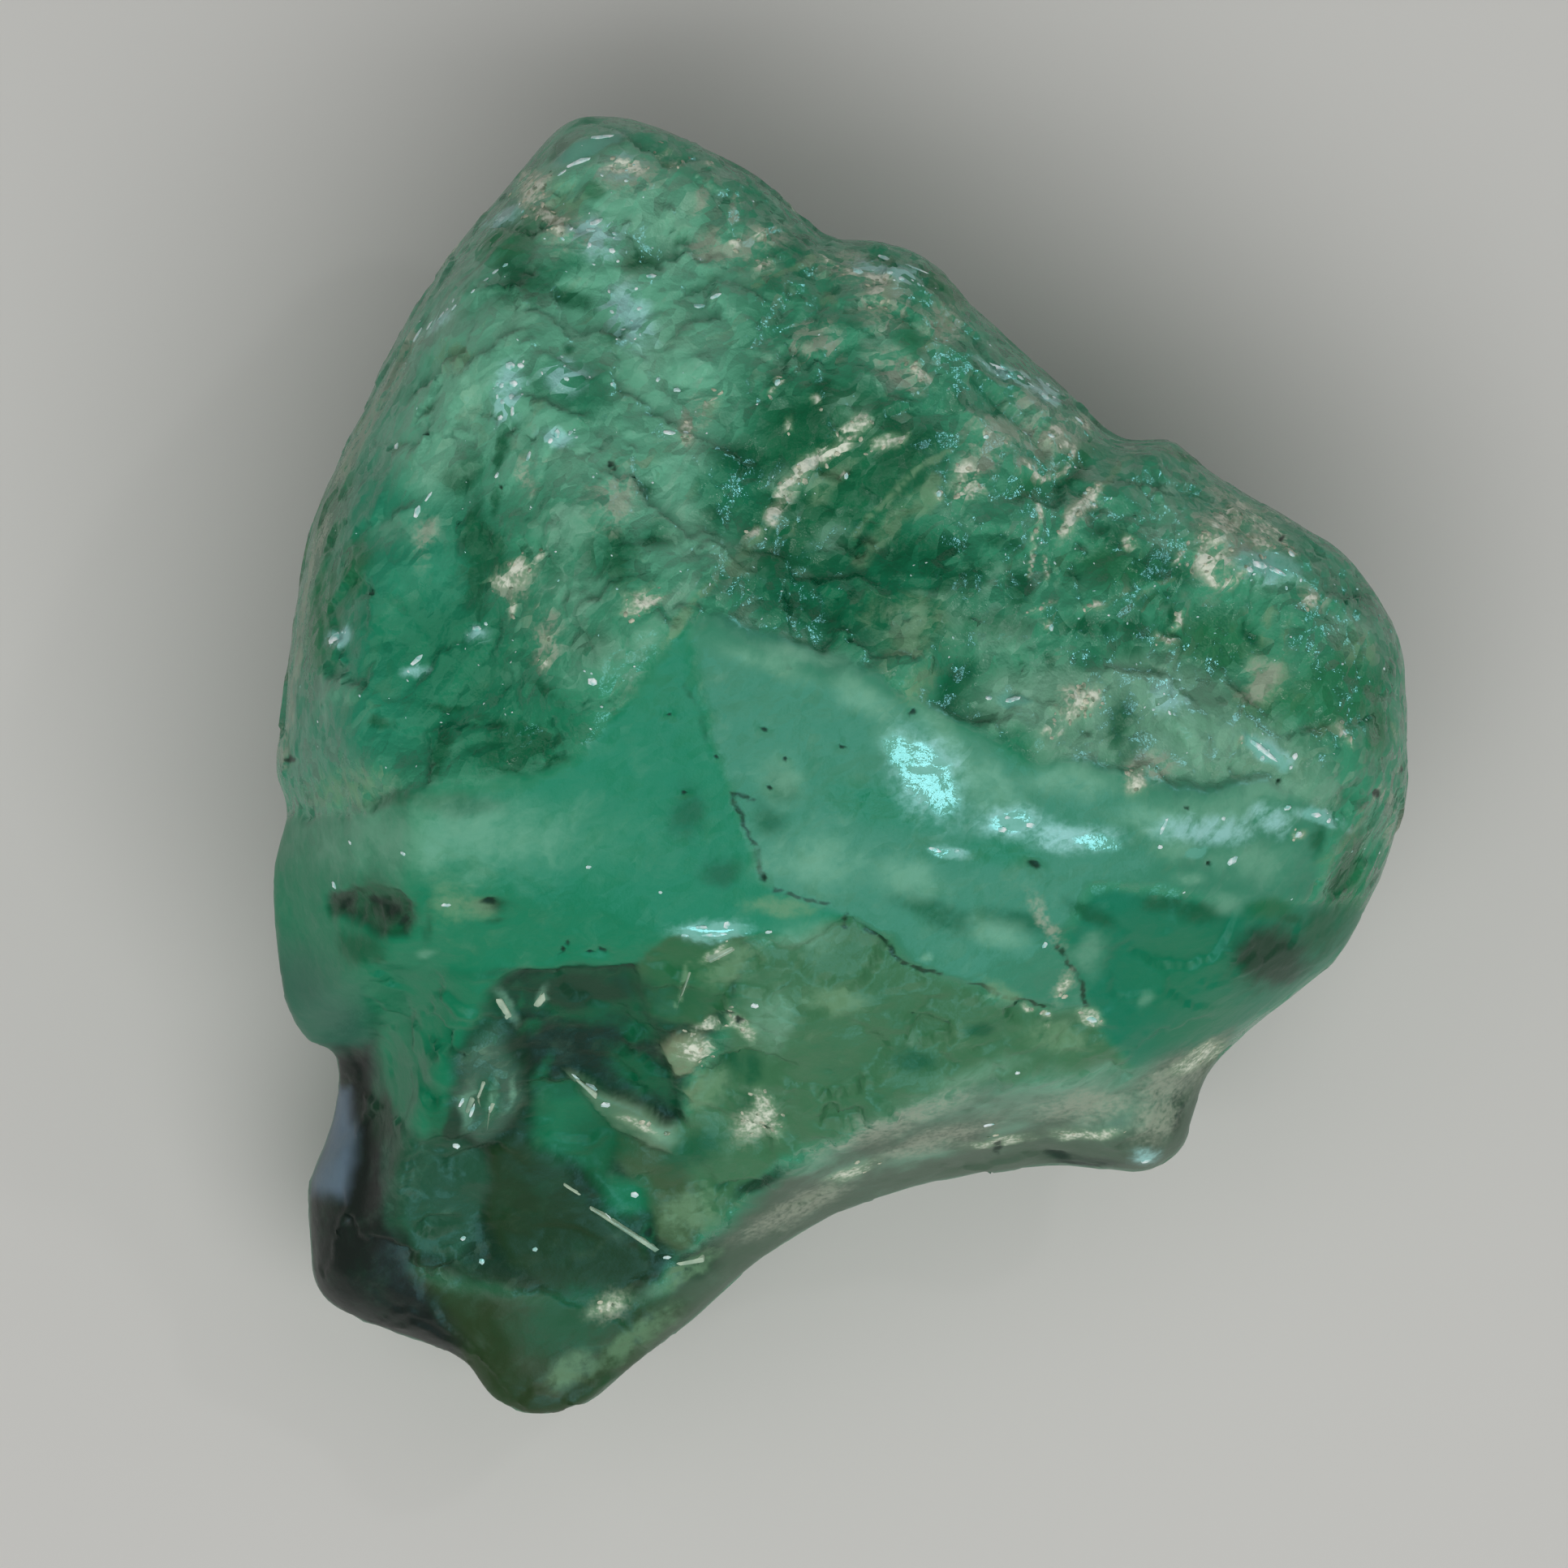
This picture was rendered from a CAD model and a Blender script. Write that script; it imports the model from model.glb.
import functools
import math

import bmesh
import bpy
import numpy as np
from mathutils import Matrix, Vector, bvhtree, kdtree, noise


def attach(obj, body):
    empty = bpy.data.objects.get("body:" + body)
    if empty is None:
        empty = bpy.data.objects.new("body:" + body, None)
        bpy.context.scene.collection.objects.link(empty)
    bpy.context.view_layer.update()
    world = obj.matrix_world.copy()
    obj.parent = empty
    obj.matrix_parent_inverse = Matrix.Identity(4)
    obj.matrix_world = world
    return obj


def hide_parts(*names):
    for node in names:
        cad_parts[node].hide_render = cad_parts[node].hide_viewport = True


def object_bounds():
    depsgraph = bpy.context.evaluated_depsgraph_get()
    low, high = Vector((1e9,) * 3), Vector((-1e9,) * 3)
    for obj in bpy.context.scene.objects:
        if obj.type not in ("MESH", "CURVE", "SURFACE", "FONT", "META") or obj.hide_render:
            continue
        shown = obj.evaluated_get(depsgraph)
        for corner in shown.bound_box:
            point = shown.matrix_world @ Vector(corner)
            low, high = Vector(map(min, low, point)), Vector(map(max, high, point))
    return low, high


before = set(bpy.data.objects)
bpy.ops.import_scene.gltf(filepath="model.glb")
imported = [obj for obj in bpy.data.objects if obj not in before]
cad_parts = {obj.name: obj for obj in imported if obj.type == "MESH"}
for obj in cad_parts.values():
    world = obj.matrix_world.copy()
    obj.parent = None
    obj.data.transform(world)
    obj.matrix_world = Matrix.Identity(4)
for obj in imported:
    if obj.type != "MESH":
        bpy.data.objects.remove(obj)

CAD_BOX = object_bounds()

# Lengths are in millimetres unless a comment says metres, and the meshes are scaled to metres at the
# end.
METRES = 0.001

# Everything drawn by chance has its seed. Blender's vector noise is different on each run without one.
VECTOR_NOISE_SEED, RELIEF_SEED, STREWN_SEED, FIRST_UNSEEN_SEED = 3, 7, 5, 10
noise.seed_set(VECTOR_NOISE_SEED)

# The front was photographed from straight above. A place on it is written as the photograph shows
# it, in pixels across and down from the picture's corner. The middle is where the model's origin is.
MM_PER_PIXEL = 0.01
MIDDLE_ACROSS, MIDDLE_DOWN = 1036.5, 946.5
PICTURE_SIDE = 1932
# The camera is this far above the height at which a pixel is exactly that wide.
CAMERA_DISTANCE = 180.0
TRUE_SCALE_HEIGHT = 6.0
SENSOR_WIDTH = 36.0


def colour(code):
    """An sRGB hex colour as linear numbers."""
    parts = [int(code[i : i + 2], 16) / 255 for i in (1, 3, 5)]
    linear = [c / 12.92 if c <= 0.04045 else ((c + 0.055) / 1.055) ** 2.4 for c in parts]
    return (*linear, 1.0)


# The stone's zones: the first is the ground, and the others lie on it in this order. Each has its
# outline on the front, its own green, how milky it is (0 is clear and 1 hides what is below), how
# mottled it is, how rough, how much it is broken into small faces, how high it stands in mm, and how
# far its border blends, in mm.
ZONES = {
    "upper_face": dict(
        tint="#48AA82", milk=0.80, mottle=1.0, rough=1.0, chipped=1.0, step=0.0,
    ),
    "upper_left": dict(
        outline=((420, 560), (540, 350), (600, 430), (630, 560), (590, 640), (600, 760), (520, 930),
                 (330, 1000), (320, 800)),
        tint="#2EA27C", milk=0.82, mottle=0.40, rough=0.7, chipped=0.7, step=0.0, edge=0.5,
    ),
    "frosted_shoulder": dict(
        outline=((610, 270), (700, 160), (800, 180), (900, 280), (920, 420), (890, 560), (880, 690),
                 (820, 720), (700, 600), (600, 610), (520, 620), (470, 560), (520, 400)),
        tint="#74C8A4", milk=0.84, mottle=0.8, rough=0.9, chipped=0.9, step=0.0, edge=0.45,
    ),
    "green_saddle": dict(
        outline=((930, 500), (1050, 470), (1160, 540), (1130, 620), (1090, 690), (1180, 750),
                 (1240, 780), (1100, 800), (960, 760), (900, 720), (930, 600)),
        tint="#177E52", milk=0.78, mottle=0.7, rough=0.9, chipped=0.9, step=0.0, edge=0.30,
    ),
    "pale_shoulder": dict(
        outline=((1160, 860), (1210, 830), (1300, 820), (1400, 800), (1480, 820), (1560, 870),
                 (1610, 920), (1620, 1000), (1560, 965), (1460, 965), (1330, 935), (1270, 940)),
        tint="#74B292", milk=0.84, mottle=0.7, rough=0.9, chipped=0.8, step=0.0, edge=0.22,
    ),
    "smooth_band": dict(
        outline=((850, 770), (815, 810), (750, 895), (690, 945), (590, 965), (520, 968), (450, 1006),
                 (300, 1010), (300, 1180), (340, 1300), (465, 1300), (475, 1205), (560, 1196),
                 (790, 1192), (860, 1158), (960, 1152), (1040, 1165), (1040, 1110), (943, 1090),
                 (905, 985), (870, 870)),
        tint="#128F65", milk=0.86, mottle=0.28, rough=0.22, chipped=0.1, step=0.03, edge=0.06,
    ),
    "grey_corner": dict(
        outline=((300, 1150), (380, 1180), (440, 1230), (470, 1260), (460, 1320), (300, 1330)),
        tint="#2F7A60", milk=0.80, mottle=0.15, rough=0.12, chipped=0.1, step=0.03, edge=0.40,
    ),
    "pale_fan": dict(
        outline=((852, 764), (885, 765), (960, 785), (1010, 805), (1080, 830), (1110, 860),
                 (1155, 872), (1215, 905), (1275, 940), (1330, 930), (1400, 960), (1460, 965),
                 (1560, 960), (1640, 1005), (1610, 1100), (1540, 1120), (1440, 1092), (1340, 1085),
                 (1305, 1150), (1345, 1245), (1250, 1230), (1140, 1195), (1050, 1130), (943, 1090),
                 (905, 985), (870, 870)),
        tint="#409676", milk=0.88, mottle=0.42, rough=0.3, chipped=0.1, step=0.05, edge=0.07,
    ),
    "window": dict(
        outline=((470, 1205), (560, 1196), (790, 1192), (860, 1158), (930, 1165), (905, 1250),
                 (860, 1290), (830, 1400), (870, 1500), (830, 1560), (790, 1600), (700, 1610),
                 (560, 1590), (480, 1560), (470, 1400), (455, 1300)),
        tint="#0B3A23", milk=0.84, mottle=0.35, rough=0.25, chipped=0.8, step=0.0, edge=0.12,
    ),
    "dark_ceiling": dict(
        outline=((600, 1195), (790, 1190), (785, 1215), (800, 1250), (815, 1290), (850, 1400),
                 (790, 1360), (700, 1325), (650, 1320), (640, 1260), (610, 1240)),
        tint="#052C1C", milk=0.95, mottle=0.2, rough=0.2, chipped=0.6, step=-0.06, edge=0.07,
    ),
    "olive_plates": dict(
        outline=((785, 1190), (830, 1155), (915, 1150), (925, 1185), (900, 1215), (905, 1245),
                 (860, 1262), (805, 1250), (790, 1225)),
        tint="#3C794D", milk=0.80, mottle=0.30, rough=0.15, chipped=0.8, step=0.03, edge=0.04,
    ),
    "teal_pool": dict(
        outline=((655, 1335), (700, 1335), (740, 1370), (760, 1400), (750, 1450), (820, 1460),
                 (820, 1500), (770, 1500), (700, 1430), (660, 1410)),
        tint="#086B42", milk=0.86, mottle=0.30, rough=0.15, chipped=0.4, step=-0.02, edge=0.10,
    ),
    "smoky_dome": dict(
        outline=((600, 1420), (640, 1400), (690, 1430), (700, 1475), (735, 1495), (790, 1545),
                 (800, 1570), (760, 1600), (690, 1605), (620, 1560), (595, 1500)),
        tint="#173E1A", milk=0.9, mottle=0.20, rough=0.08, chipped=0.2, step=0.05, edge=0.08,
    ),
    "left_wall": dict(
        outline=((475, 1400), (550, 1400), (600, 1440), (590, 1500), (560, 1560), (500, 1540),
                 (475, 1500)),
        tint="#235F43", milk=0.78, mottle=0.40, rough=0.25, chipped=0.8, step=0.0, edge=0.10,
    ),
    "pale_slope": dict(
        outline=((760, 1400), (830, 1425), (850, 1395), (940, 1395), (960, 1430), (900, 1470),
                 (840, 1545), (815, 1530), (800, 1480), (760, 1430)),
        tint="#466C46", milk=0.80, mottle=0.40, rough=0.3, chipped=0.6, step=0.02, edge=0.06,
    ),
    "pale_plate": dict(
        outline=((575, 1290), (610, 1265), (640, 1320), (640, 1360), (610, 1400), (585, 1410),
                 (562, 1390), (560, 1350)),
        tint="#42705A", milk=0.84, mottle=0.7, rough=0.5, chipped=0.4, step=0.03, edge=0.12,
    ),
    "wedge": dict(
        outline=((700, 1318), (745, 1348), (800, 1370), (842, 1398), (836, 1424), (790, 1408),
                 (750, 1390), (728, 1360)),
        tint="#6C9474", milk=0.86, mottle=0.20, rough=0.2, chipped=0.2, step=0.07, edge=0.035,
    ),
    "cream_corner": dict(
        outline=((815, 1290), (830, 1272), (862, 1272), (868, 1300), (852, 1330), (832, 1330)),
        tint="#7F8F70", milk=0.90, mottle=0.20, rough=0.5, chipped=0.3, step=0.06, edge=0.05,
    ),
    "olive_block": dict(
        outline=((845, 1345), (870, 1330), (900, 1340), (895, 1380), (862, 1392)),
        tint="#74966E", milk=0.86, mottle=0.20, rough=0.3, chipped=0.3, step=0.05, edge=0.035,
    ),
    "cream_block": dict(
        outline=((905, 1390), (920, 1355), (950, 1365), (968, 1395), (945, 1420), (915, 1410)),
        tint="#9A967A", milk=0.90, mottle=0.20, rough=0.5, chipped=0.3, step=0.06, edge=0.035,
    ),
    "mint_block": dict(
        outline=((912, 1250), (925, 1232), (948, 1235), (950, 1270), (920, 1282)),
        tint="#82B090", milk=0.88, mottle=0.20, rough=0.3, chipped=0.3, step=0.05, edge=0.035,
    ),
    "teal_shelf": dict(
        outline=((465, 1195), (630, 1195), (600, 1235), (585, 1260), (560, 1290), (550, 1390),
                 (520, 1400), (490, 1385), (470, 1340), (458, 1300), (468, 1265), (450, 1225)),
        tint="#0A9266", milk=0.80, mottle=0.30, rough=0.2, chipped=1.2, step=0.02, edge=0.12,
    ),
    "plateau": dict(
        outline=((930, 1165), (1045, 1135), (1140, 1195), (1250, 1235), (1345, 1250), (1400, 1320),
                 (1210, 1335), (1080, 1380), (960, 1430), (870, 1520), (830, 1400), (890, 1290)),
        tint="#48885D", milk=0.80, mottle=0.5, rough=0.35, chipped=0.9, step=0.0, edge=0.12,
    ),
    "right_corner": dict(
        outline=((1345, 1095), (1440, 1105), (1600, 1110), (1700, 1120), (1650, 1200), (1520, 1280),
                 (1400, 1325), (1345, 1250), (1305, 1155)),
        tint="#0C8C68", milk=0.78, mottle=0.15, rough=0.15, chipped=0.5, step=0.0, edge=0.10,
    ),
    "glassy_edge": dict(
        outline=((740, 1700), (830, 1580), (900, 1510), (960, 1455), (1080, 1390), (1200, 1340),
                 (1300, 1340), (1400, 1330), (1450, 1300), (1520, 1275), (1500, 1400), (1480, 1480),
                 (1180, 1500), (1000, 1560), (800, 1750)),
        tint="#58745E", milk=0.76, mottle=0.30, rough=0.12, chipped=0.4, step=0.0, edge=0.16,
    ),
    "bottom_lobe": dict(
        outline=((480, 1560), (560, 1590), (700, 1605), (800, 1600), (840, 1620), (760, 1720),
                 (690, 1790), (560, 1780), (520, 1660)),
        tint="#2F4C26", milk=0.74, mottle=0.2, rough=0.15, chipped=0.7, step=0.0, edge=0.30,
    ),
    "slate_lumps": dict(
        outline=((380, 1300), (450, 1290), (468, 1400), (476, 1500), (500, 1570), (560, 1670),
                 (560, 1760), (300, 1700), (300, 1400)),
        tint="#12211A", milk=0.7, mottle=0.20, rough=0.10, chipped=0.4, step=0.0, edge=0.16,
    ),
    "slate_sheen": dict(
        outline=((375, 1350), (422, 1350), (430, 1400), (428, 1450), (415, 1482), (380, 1482),
                 (360, 1450), (365, 1400)),
        tint="#6E8698", milk=0.86, mottle=0.10, rough=0.15, chipped=0.3, step=0.0, edge=0.14,
    ),
    "broken_pocket": dict(
        outline=((405, 1102), (440, 1092), (500, 1094), (514, 1112), (500, 1150), (468, 1152),
                 (440, 1130), (412, 1126)),
        tint="#0A3A24", milk=0.86, mottle=0.4, rough=0.4, chipped=1.2, step=-0.06, edge=0.05,
    ),
}

# Marks on the front. A patch is (across, down, length, width, turn), the turn in degrees
# anticlockwise. A stroke is a width and the places that it runs through. The order counts, because
# the grains strewn over the marks are drawn in it.
MARKS = {
    # clean bluish green, in wide soft patches
    "teal": dict(
        patches=(
            (560, 800, 220, 120, -8), (600, 880, 200, 110, 10), (690, 880, 110, 60, -10),
            (620, 930, 170, 50, 8), (580, 580, 60, 60, 60), (725, 480, 110, 80, 0), (975, 305, 60, 56, 0),
            (900, 605, 90, 80, 70), (1130, 700, 220, 110, 0), (1010, 745, 200, 70, -10),
            (885, 640, 60, 50, 0), (820, 665, 60, 30, 10), (1180, 845, 110, 70, -75),
            (1250, 920, 70, 50, -40), (1345, 815, 70, 36, 10), (1680, 740, 60, 60, -50),
            (1705, 830, 80, 30, 80), (850, 1015, 90, 80, 0), (835, 860, 150, 60, 75),
            (880, 1060, 60, 60, 0), (1090, 990, 150, 60, -15), (1230, 1045, 90, 40, 0),
            (530, 1240, 150, 100, 0), (510, 1330, 130, 70, 80), (705, 1385, 90, 90, 0),
            (1450, 1190, 160, 130, 0), (1480, 1260, 120, 50, 30), (775, 1480, 70, 60, -30),
            (690, 330, 60, 40, 20),
        ),
    ),
    # warmer plain green
    "leaf": dict(
        patches=(
            (640, 285, 110, 60, 30), (440, 700, 80, 40, 80), (400, 640, 200, 60, 78),
            (395, 760, 160, 60, 85), (1500, 790, 110, 80, 0), (1590, 860, 120, 60, 0),
            (1650, 850, 110, 110, 0), (1665, 1080, 110, 60, 80), (1330, 560, 60, 30, 40),
            (1365, 700, 110, 60, 0), (1270, 600, 70, 26, 10), (1125, 420, 50, 40, 0),
            (1175, 350, 80, 40, -42), (850, 1205, 100, 90, 0), (730, 235, 30, 20, 0),
            (790, 325, 50, 30, 30), (1460, 560, 80, 20, -20), (1560, 1120, 60, 30, 0),
            (1695, 900, 100, 40, 85),
        ),
    ),
    # deep green, where the crystal is clean and its dark inside shows through
    "deep": dict(
        patches=(
            (740, 1400, 90, 70, 0), (850, 1420, 80, 50, 30), (540, 1370, 30, 70, 0), (890, 1310, 50, 60, 0),
            (1015, 560, 44, 50, 0), (960, 965, 40, 50, 0), (480, 1120, 90, 60, 0), (475, 1120, 60, 40, -20),
            (1150, 1120, 110, 40, -25), (752, 700, 56, 50, 0), (850, 1000, 44, 70, 0),
            (1390, 780, 56, 60, 0), (604, 1112, 60, 26, 0),
            (950, 1010, 60, 40, -60), (1000, 540, 110, 50, 0), (1120, 590, 90, 60, 30),
            (760, 680, 70, 60, 0), (740, 800, 60, 50, 0), (640, 920, 110, 60, 10), (570, 990, 120, 30, 0),
            (470, 1110, 90, 60, 0), (450, 1170, 60, 50, 0), (1235, 775, 60, 36, 0), (1420, 700, 60, 40, 0),
            (1455, 712, 40, 30, 0), (750, 1230, 240, 70, 0), (700, 1640, 150, 90, 10),
            (930, 1370, 50, 50, 0), (1560, 1180, 110, 70, 30), (1630, 1150, 90, 60, 40),
            (1250, 1135, 110, 30, -10), (600, 1350, 30, 60, 0), (600, 700, 60, 120, 0),
            (745, 182, 60, 22, 40), (690, 188, 34, 28, 30), (650, 345, 90, 56, 10), (712, 368, 60, 24, -20),
            (755, 425, 42, 30, -20), (700, 436, 16, 14, 0), (1000, 525, 110, 46, 20),
            (935, 572, 110, 50, -8), (960, 470, 46, 36, 80), (1010, 482, 34, 26, 40),
            (620, 565, 64, 22, 82), (590, 670, 110, 24, 88), (615, 625, 50, 14, 85), (575, 590, 50, 36, 50),
            (885, 640, 34, 26, 0), (795, 605, 26, 20, 0), (820, 668, 44, 18, 10), (530, 505, 24, 12, 40),
            (1105, 572, 116, 34, 42), (1130, 690, 150, 64, -5), (1185, 715, 80, 56, 0),
            (1250, 728, 64, 38, 88), (1232, 675, 44, 20, -10), (1015, 758, 90, 34, -8),
            (985, 748, 60, 16, -12), (1318, 590, 44, 16, 20), (1090, 750, 44, 30, 0),
            (1362, 662, 64, 36, 0), (1420, 742, 64, 28, 10), (1335, 778, 54, 30, 0),
            (1540, 780, 64, 20, -50), (1177, 845, 70, 36, 80), (1210, 880, 50, 20, -20),
            (1378, 895, 76, 34, 88), (1392, 930, 36, 30, 0), (1655, 1070, 90, 36, 80),
            (1620, 1032, 50, 18, 80), (1650, 1120, 30, 14, 80), (1430, 1110, 64, 26, 0),
            (1472, 1122, 60, 30, -10), (1340, 1122, 70, 22, -30), (1590, 1132, 40, 14, 5),
            (620, 952, 66, 14, 2), (685, 941, 44, 10, 18), (545, 935, 70, 20, 60), (480, 990, 90, 20, 8),
            (475, 892, 30, 14, 0), (555, 872, 50, 8, -8), (610, 890, 30, 14, 0), (680, 858, 50, 22, -30),
            (425, 1115, 34, 20, 35), (478, 1108, 64, 28, -4), (487, 1138, 36, 22, 70),
            (470, 1182, 26, 18, 60), (440, 1168, 60, 34, -40), (530, 1132, 50, 14, 78),
            (607, 1105, 34, 14, 4), (610, 1133, 28, 8, 5), (890, 1072, 60, 34, 20), (665, 1325, 60, 20, 62),
            (640, 1236, 30, 12, 70), (655, 1268, 40, 20, 10), (700, 1345, 40, 26, 0),
            (740, 1225, 120, 60, 0), (790, 1270, 60, 50, -60), (790, 1330, 100, 50, -35),
            (800, 1525, 36, 22, 60), (885, 1468, 18, 16, 0), (1125, 1310, 60, 30, 0),
            (1205, 1268, 34, 20, 0), (925, 1320, 40, 26, 80), (1440, 765, 30, 10, 85),
            (1290, 815, 26, 14, -60), (850, 855, 30, 8, -70), (868, 895, 40, 7, -72),
        ),
    ),
    # smoky: windows into the dark of the stone, and fine closed cracks
    "smoke": dict(
        patches=(
            (1570, 1182, 90, 64, -15), (720, 1225, 150, 40, 0), (478, 1122, 44, 30, -10),
            (860, 1560, 70, 40, 35), (604, 1110, 34, 14, 0), (425, 1112, 30, 20, 35),
            (1555, 1172, 76, 52, -15), (465, 1385, 60, 30, 85), (1340, 1438, 110, 18, -5),
            (935, 1465, 76, 20, 30), (1455, 1372, 60, 20, 85), (555, 1385, 50, 18, 80),
        ),
        strokes=(
            (4, (902, 975), (930, 986)), (5, (905, 980), (930, 1040), (943, 1080)),
            (4, (955, 1095), (990, 1104), (1022, 1110)), (4, (1042, 1120), (1036, 1150)),
            (5, (1060, 1146), (1100, 1175), (1135, 1192), (1160, 1200)),
            (4, (1190, 1208), (1245, 1222), (1290, 1240)), (5, (1300, 1160), (1325, 1200), (1340, 1245)),
        ),
    ),
    # milky pale green
    "haze": dict(
        patches=(
            (540, 1030, 420, 110, 0), (575, 1360, 76, 14, 78), (604, 1352, 60, 12, 75),
            (628, 1345, 50, 8, 72), (1200, 1325, 170, 30, 20), (950, 1255, 60, 90, 0),
            (1155, 905, 90, 40, -50), (1340, 1175, 50, 60, 0), (1440, 860, 60, 50, 0),
            (910, 700, 60, 40, 20), (950, 820, 120, 30, -20), (1060, 860, 90, 40, -30),
            (1200, 960, 140, 60, -30), (1420, 1010, 120, 40, 0), (960, 960, 60, 60, 0),
            (670, 240, 110, 80, 40), (785, 212, 70, 50, 0), (925, 300, 80, 40, 20),
            (1080, 350, 90, 60, -30), (1100, 450, 110, 60, -20), (1055, 515, 70, 50, 0),
            (975, 600, 60, 40, 30), (1030, 662, 50, 40, 0), (890, 690, 60, 50, 0),
            (1260, 535, 160, 60, -10), (1500, 660, 110, 60, -30), (1560, 705, 120, 60, -20),
            (1115, 765, 60, 40, 0), (1175, 770, 40, 90, 0), (985, 812, 130, 26, -10),
            (1325, 865, 60, 50, 0), (1425, 850, 60, 40, 0), (1550, 835, 60, 40, 0), (1655, 900, 40, 30, 0),
            (1415, 955, 70, 40, 0), (1445, 1040, 60, 50, 0), (1505, 1110, 50, 30, 0),
            (1230, 1150, 90, 40, -20), (1300, 1350, 320, 70, 8), (1040, 1450, 80, 30, 20),
            (510, 660, 90, 50, 0), (540, 400, 70, 30, 40), (420, 855, 50, 60, 0), (1060, 350, 60, 30, 0),
            (760, 200, 150, 60, -10), (680, 300, 60, 90, 0), (800, 440, 150, 120, 20),
            (560, 560, 110, 80, 60), (850, 540, 80, 80, 0), (850, 660, 70, 90, 0), (710, 575, 90, 50, 0),
            (1070, 365, 70, 70, 0), (1150, 410, 50, 50, 0), (1270, 520, 90, 60, -40),
            (1550, 685, 110, 70, -30), (1665, 775, 60, 50, 0), (1250, 865, 140, 70, 0),
            (1320, 870, 90, 70, 0), (1420, 850, 130, 60, -20), (1480, 925, 200, 70, 0),
            (1620, 960, 60, 90, 0), (995, 1155, 90, 50, 0), (1160, 1365, 160, 60, 15),
            (1380, 1365, 170, 80, 10), (960, 450, 80, 40, 0), (630, 400, 90, 60, 30),
            (580, 465, 120, 80, 60), (800, 260, 180, 110, 10), (840, 330, 60, 30, 20),
            (930, 340, 80, 20, 25), (700, 660, 90, 70, 0), (720, 740, 110, 80, -60),
            (740, 810, 100, 60, 30), (975, 635, 30, 14, 0), (1015, 600, 20, 16, 0), (830, 600, 46, 30, 80),
            (838, 628, 36, 14, 40), (885, 690, 60, 40, 50), (845, 735, 60, 40, 45), (800, 785, 70, 34, 45),
            (1440, 640, 70, 60, 0), (1430, 605, 60, 24, 10), (1385, 577, 34, 22, 80),
            (1215, 722, 50, 16, 70), (1150, 735, 60, 10, -15), (1225, 790, 80, 60, 0),
            (1440, 860, 70, 24, -50), (1465, 890, 50, 18, -60), (1430, 925, 60, 30, 30),
            (1500, 1000, 200, 60, 0), (1560, 972, 110, 34, 5), (1540, 1060, 120, 60, 0),
            (1460, 1082, 50, 18, 0), (1000, 1060, 140, 80, 0), (1120, 1080, 110, 50, -10),
            (1320, 960, 120, 50, 0), (930, 1258, 46, 26, 80), (970, 1262, 18, 12, 60),
            (625, 1242, 50, 14, -65), (668, 1230, 32, 14, 70), (1250, 1390, 80, 30, 10),
            (1130, 1430, 120, 30, 15), (1020, 1430, 90, 24, 25), (818, 1396, 50, 22, -22),
            (1120, 925, 100, 50, -30), (1410, 1232, 30, 16, 40), (990, 705, 24, 14, -30),
            (1140, 1175, 18, 12, 0), (530, 1173, 26, 12, 0), (408, 880, 34, 12, 80),
            (1125, 1285, 18, 16, 0),
        ),
    ),
    # khaki film
    "olive": dict(
        patches=(
            (850, 1500, 80, 60, 30), (560, 1110, 60, 50, 0), (1670, 800, 50, 44, 80),
            (1550, 845, 70, 50, 65), (1020, 600, 70, 34, 50), (910, 700, 50, 40, 30),
            (1100, 750, 110, 40, 10), (700, 245, 50, 34, -60), (1158, 392, 60, 38, 80),
            (1145, 425, 24, 16, 40), (1135, 372, 14, 12, 0), (1130, 782, 96, 70, 40),
            (1150, 760, 50, 24, 60), (560, 440, 50, 40, 0), (430, 970, 110, 50, 10),
            (960, 1115, 90, 26, -4), (585, 1115, 60, 36, -10), (1558, 842, 70, 46, 65),
            (1560, 765, 60, 14, 80), (1585, 775, 50, 12, 75), (1670, 802, 42, 32, 80),
            (1630, 900, 44, 30, 10), (1720, 900, 40, 12, 88), (870, 1345, 64, 40, 30),
            (900, 1190, 90, 50, 30), (1030, 1230, 90, 40, 0), (850, 1570, 90, 30, 35),
            (780, 1660, 140, 40, 35), (700, 1700, 80, 40, 20), (1300, 1280, 90, 40, -10),
            (1230, 1215, 60, 20, -20), (1130, 845, 60, 40, 60), (842, 1312, 60, 46, -60),
            (1020, 365, 30, 18, -60),
        ),
        strokes=(
            (28, (1062, 688), (1095, 655), (1130, 625), (1152, 600)),
            (10, (1052, 662), (1090, 625), (1130, 580), (1168, 556)),
            (10, (1345, 755), (1365, 740), (1385, 728)), (7, (1398, 738), (1425, 722), (1447, 717)),
            (9, (1352, 612), (1378, 575), (1396, 558)), (8, (850, 1188), (842, 1210), (833, 1240)),
            (16, (905, 712), (920, 680), (932, 655)), (9, (930, 355), (965, 335), (1000, 322)),
            (12, (880, 720), (850, 755), (815, 800)),
        ),
    ),
    # grey-pink clay film
    "clay": dict(
        patches=(
            (1060, 340, 120, 50, -15), (930, 300, 90, 40, 20), (780, 215, 90, 40, 0), (720, 290, 60, 50, 0),
            (1160, 400, 50, 60, 0), (1300, 520, 90, 30, -30), (1090, 380, 70, 50, 0),
            (1550, 840, 60, 44, 65), (1490, 640, 70, 30, 30), (1280, 500, 60, 30, -30),
            (690, 290, 50, 60, 0), (660, 235, 70, 40, -60), (1075, 380, 60, 36, -50),
            (1105, 455, 80, 40, -30), (1240, 530, 120, 40, 0), (1530, 680, 120, 50, -25),
            (1320, 865, 60, 40, 20), (1420, 945, 50, 40, 0), (1440, 1345, 110, 60, 30),
            (1160, 1405, 160, 30, 18), (780, 205, 70, 34, 10), (885, 310, 70, 50, -20),
            (905, 262, 40, 16, 80), (865, 242, 46, 18, 80), (1060, 318, 90, 26, -6),
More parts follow.
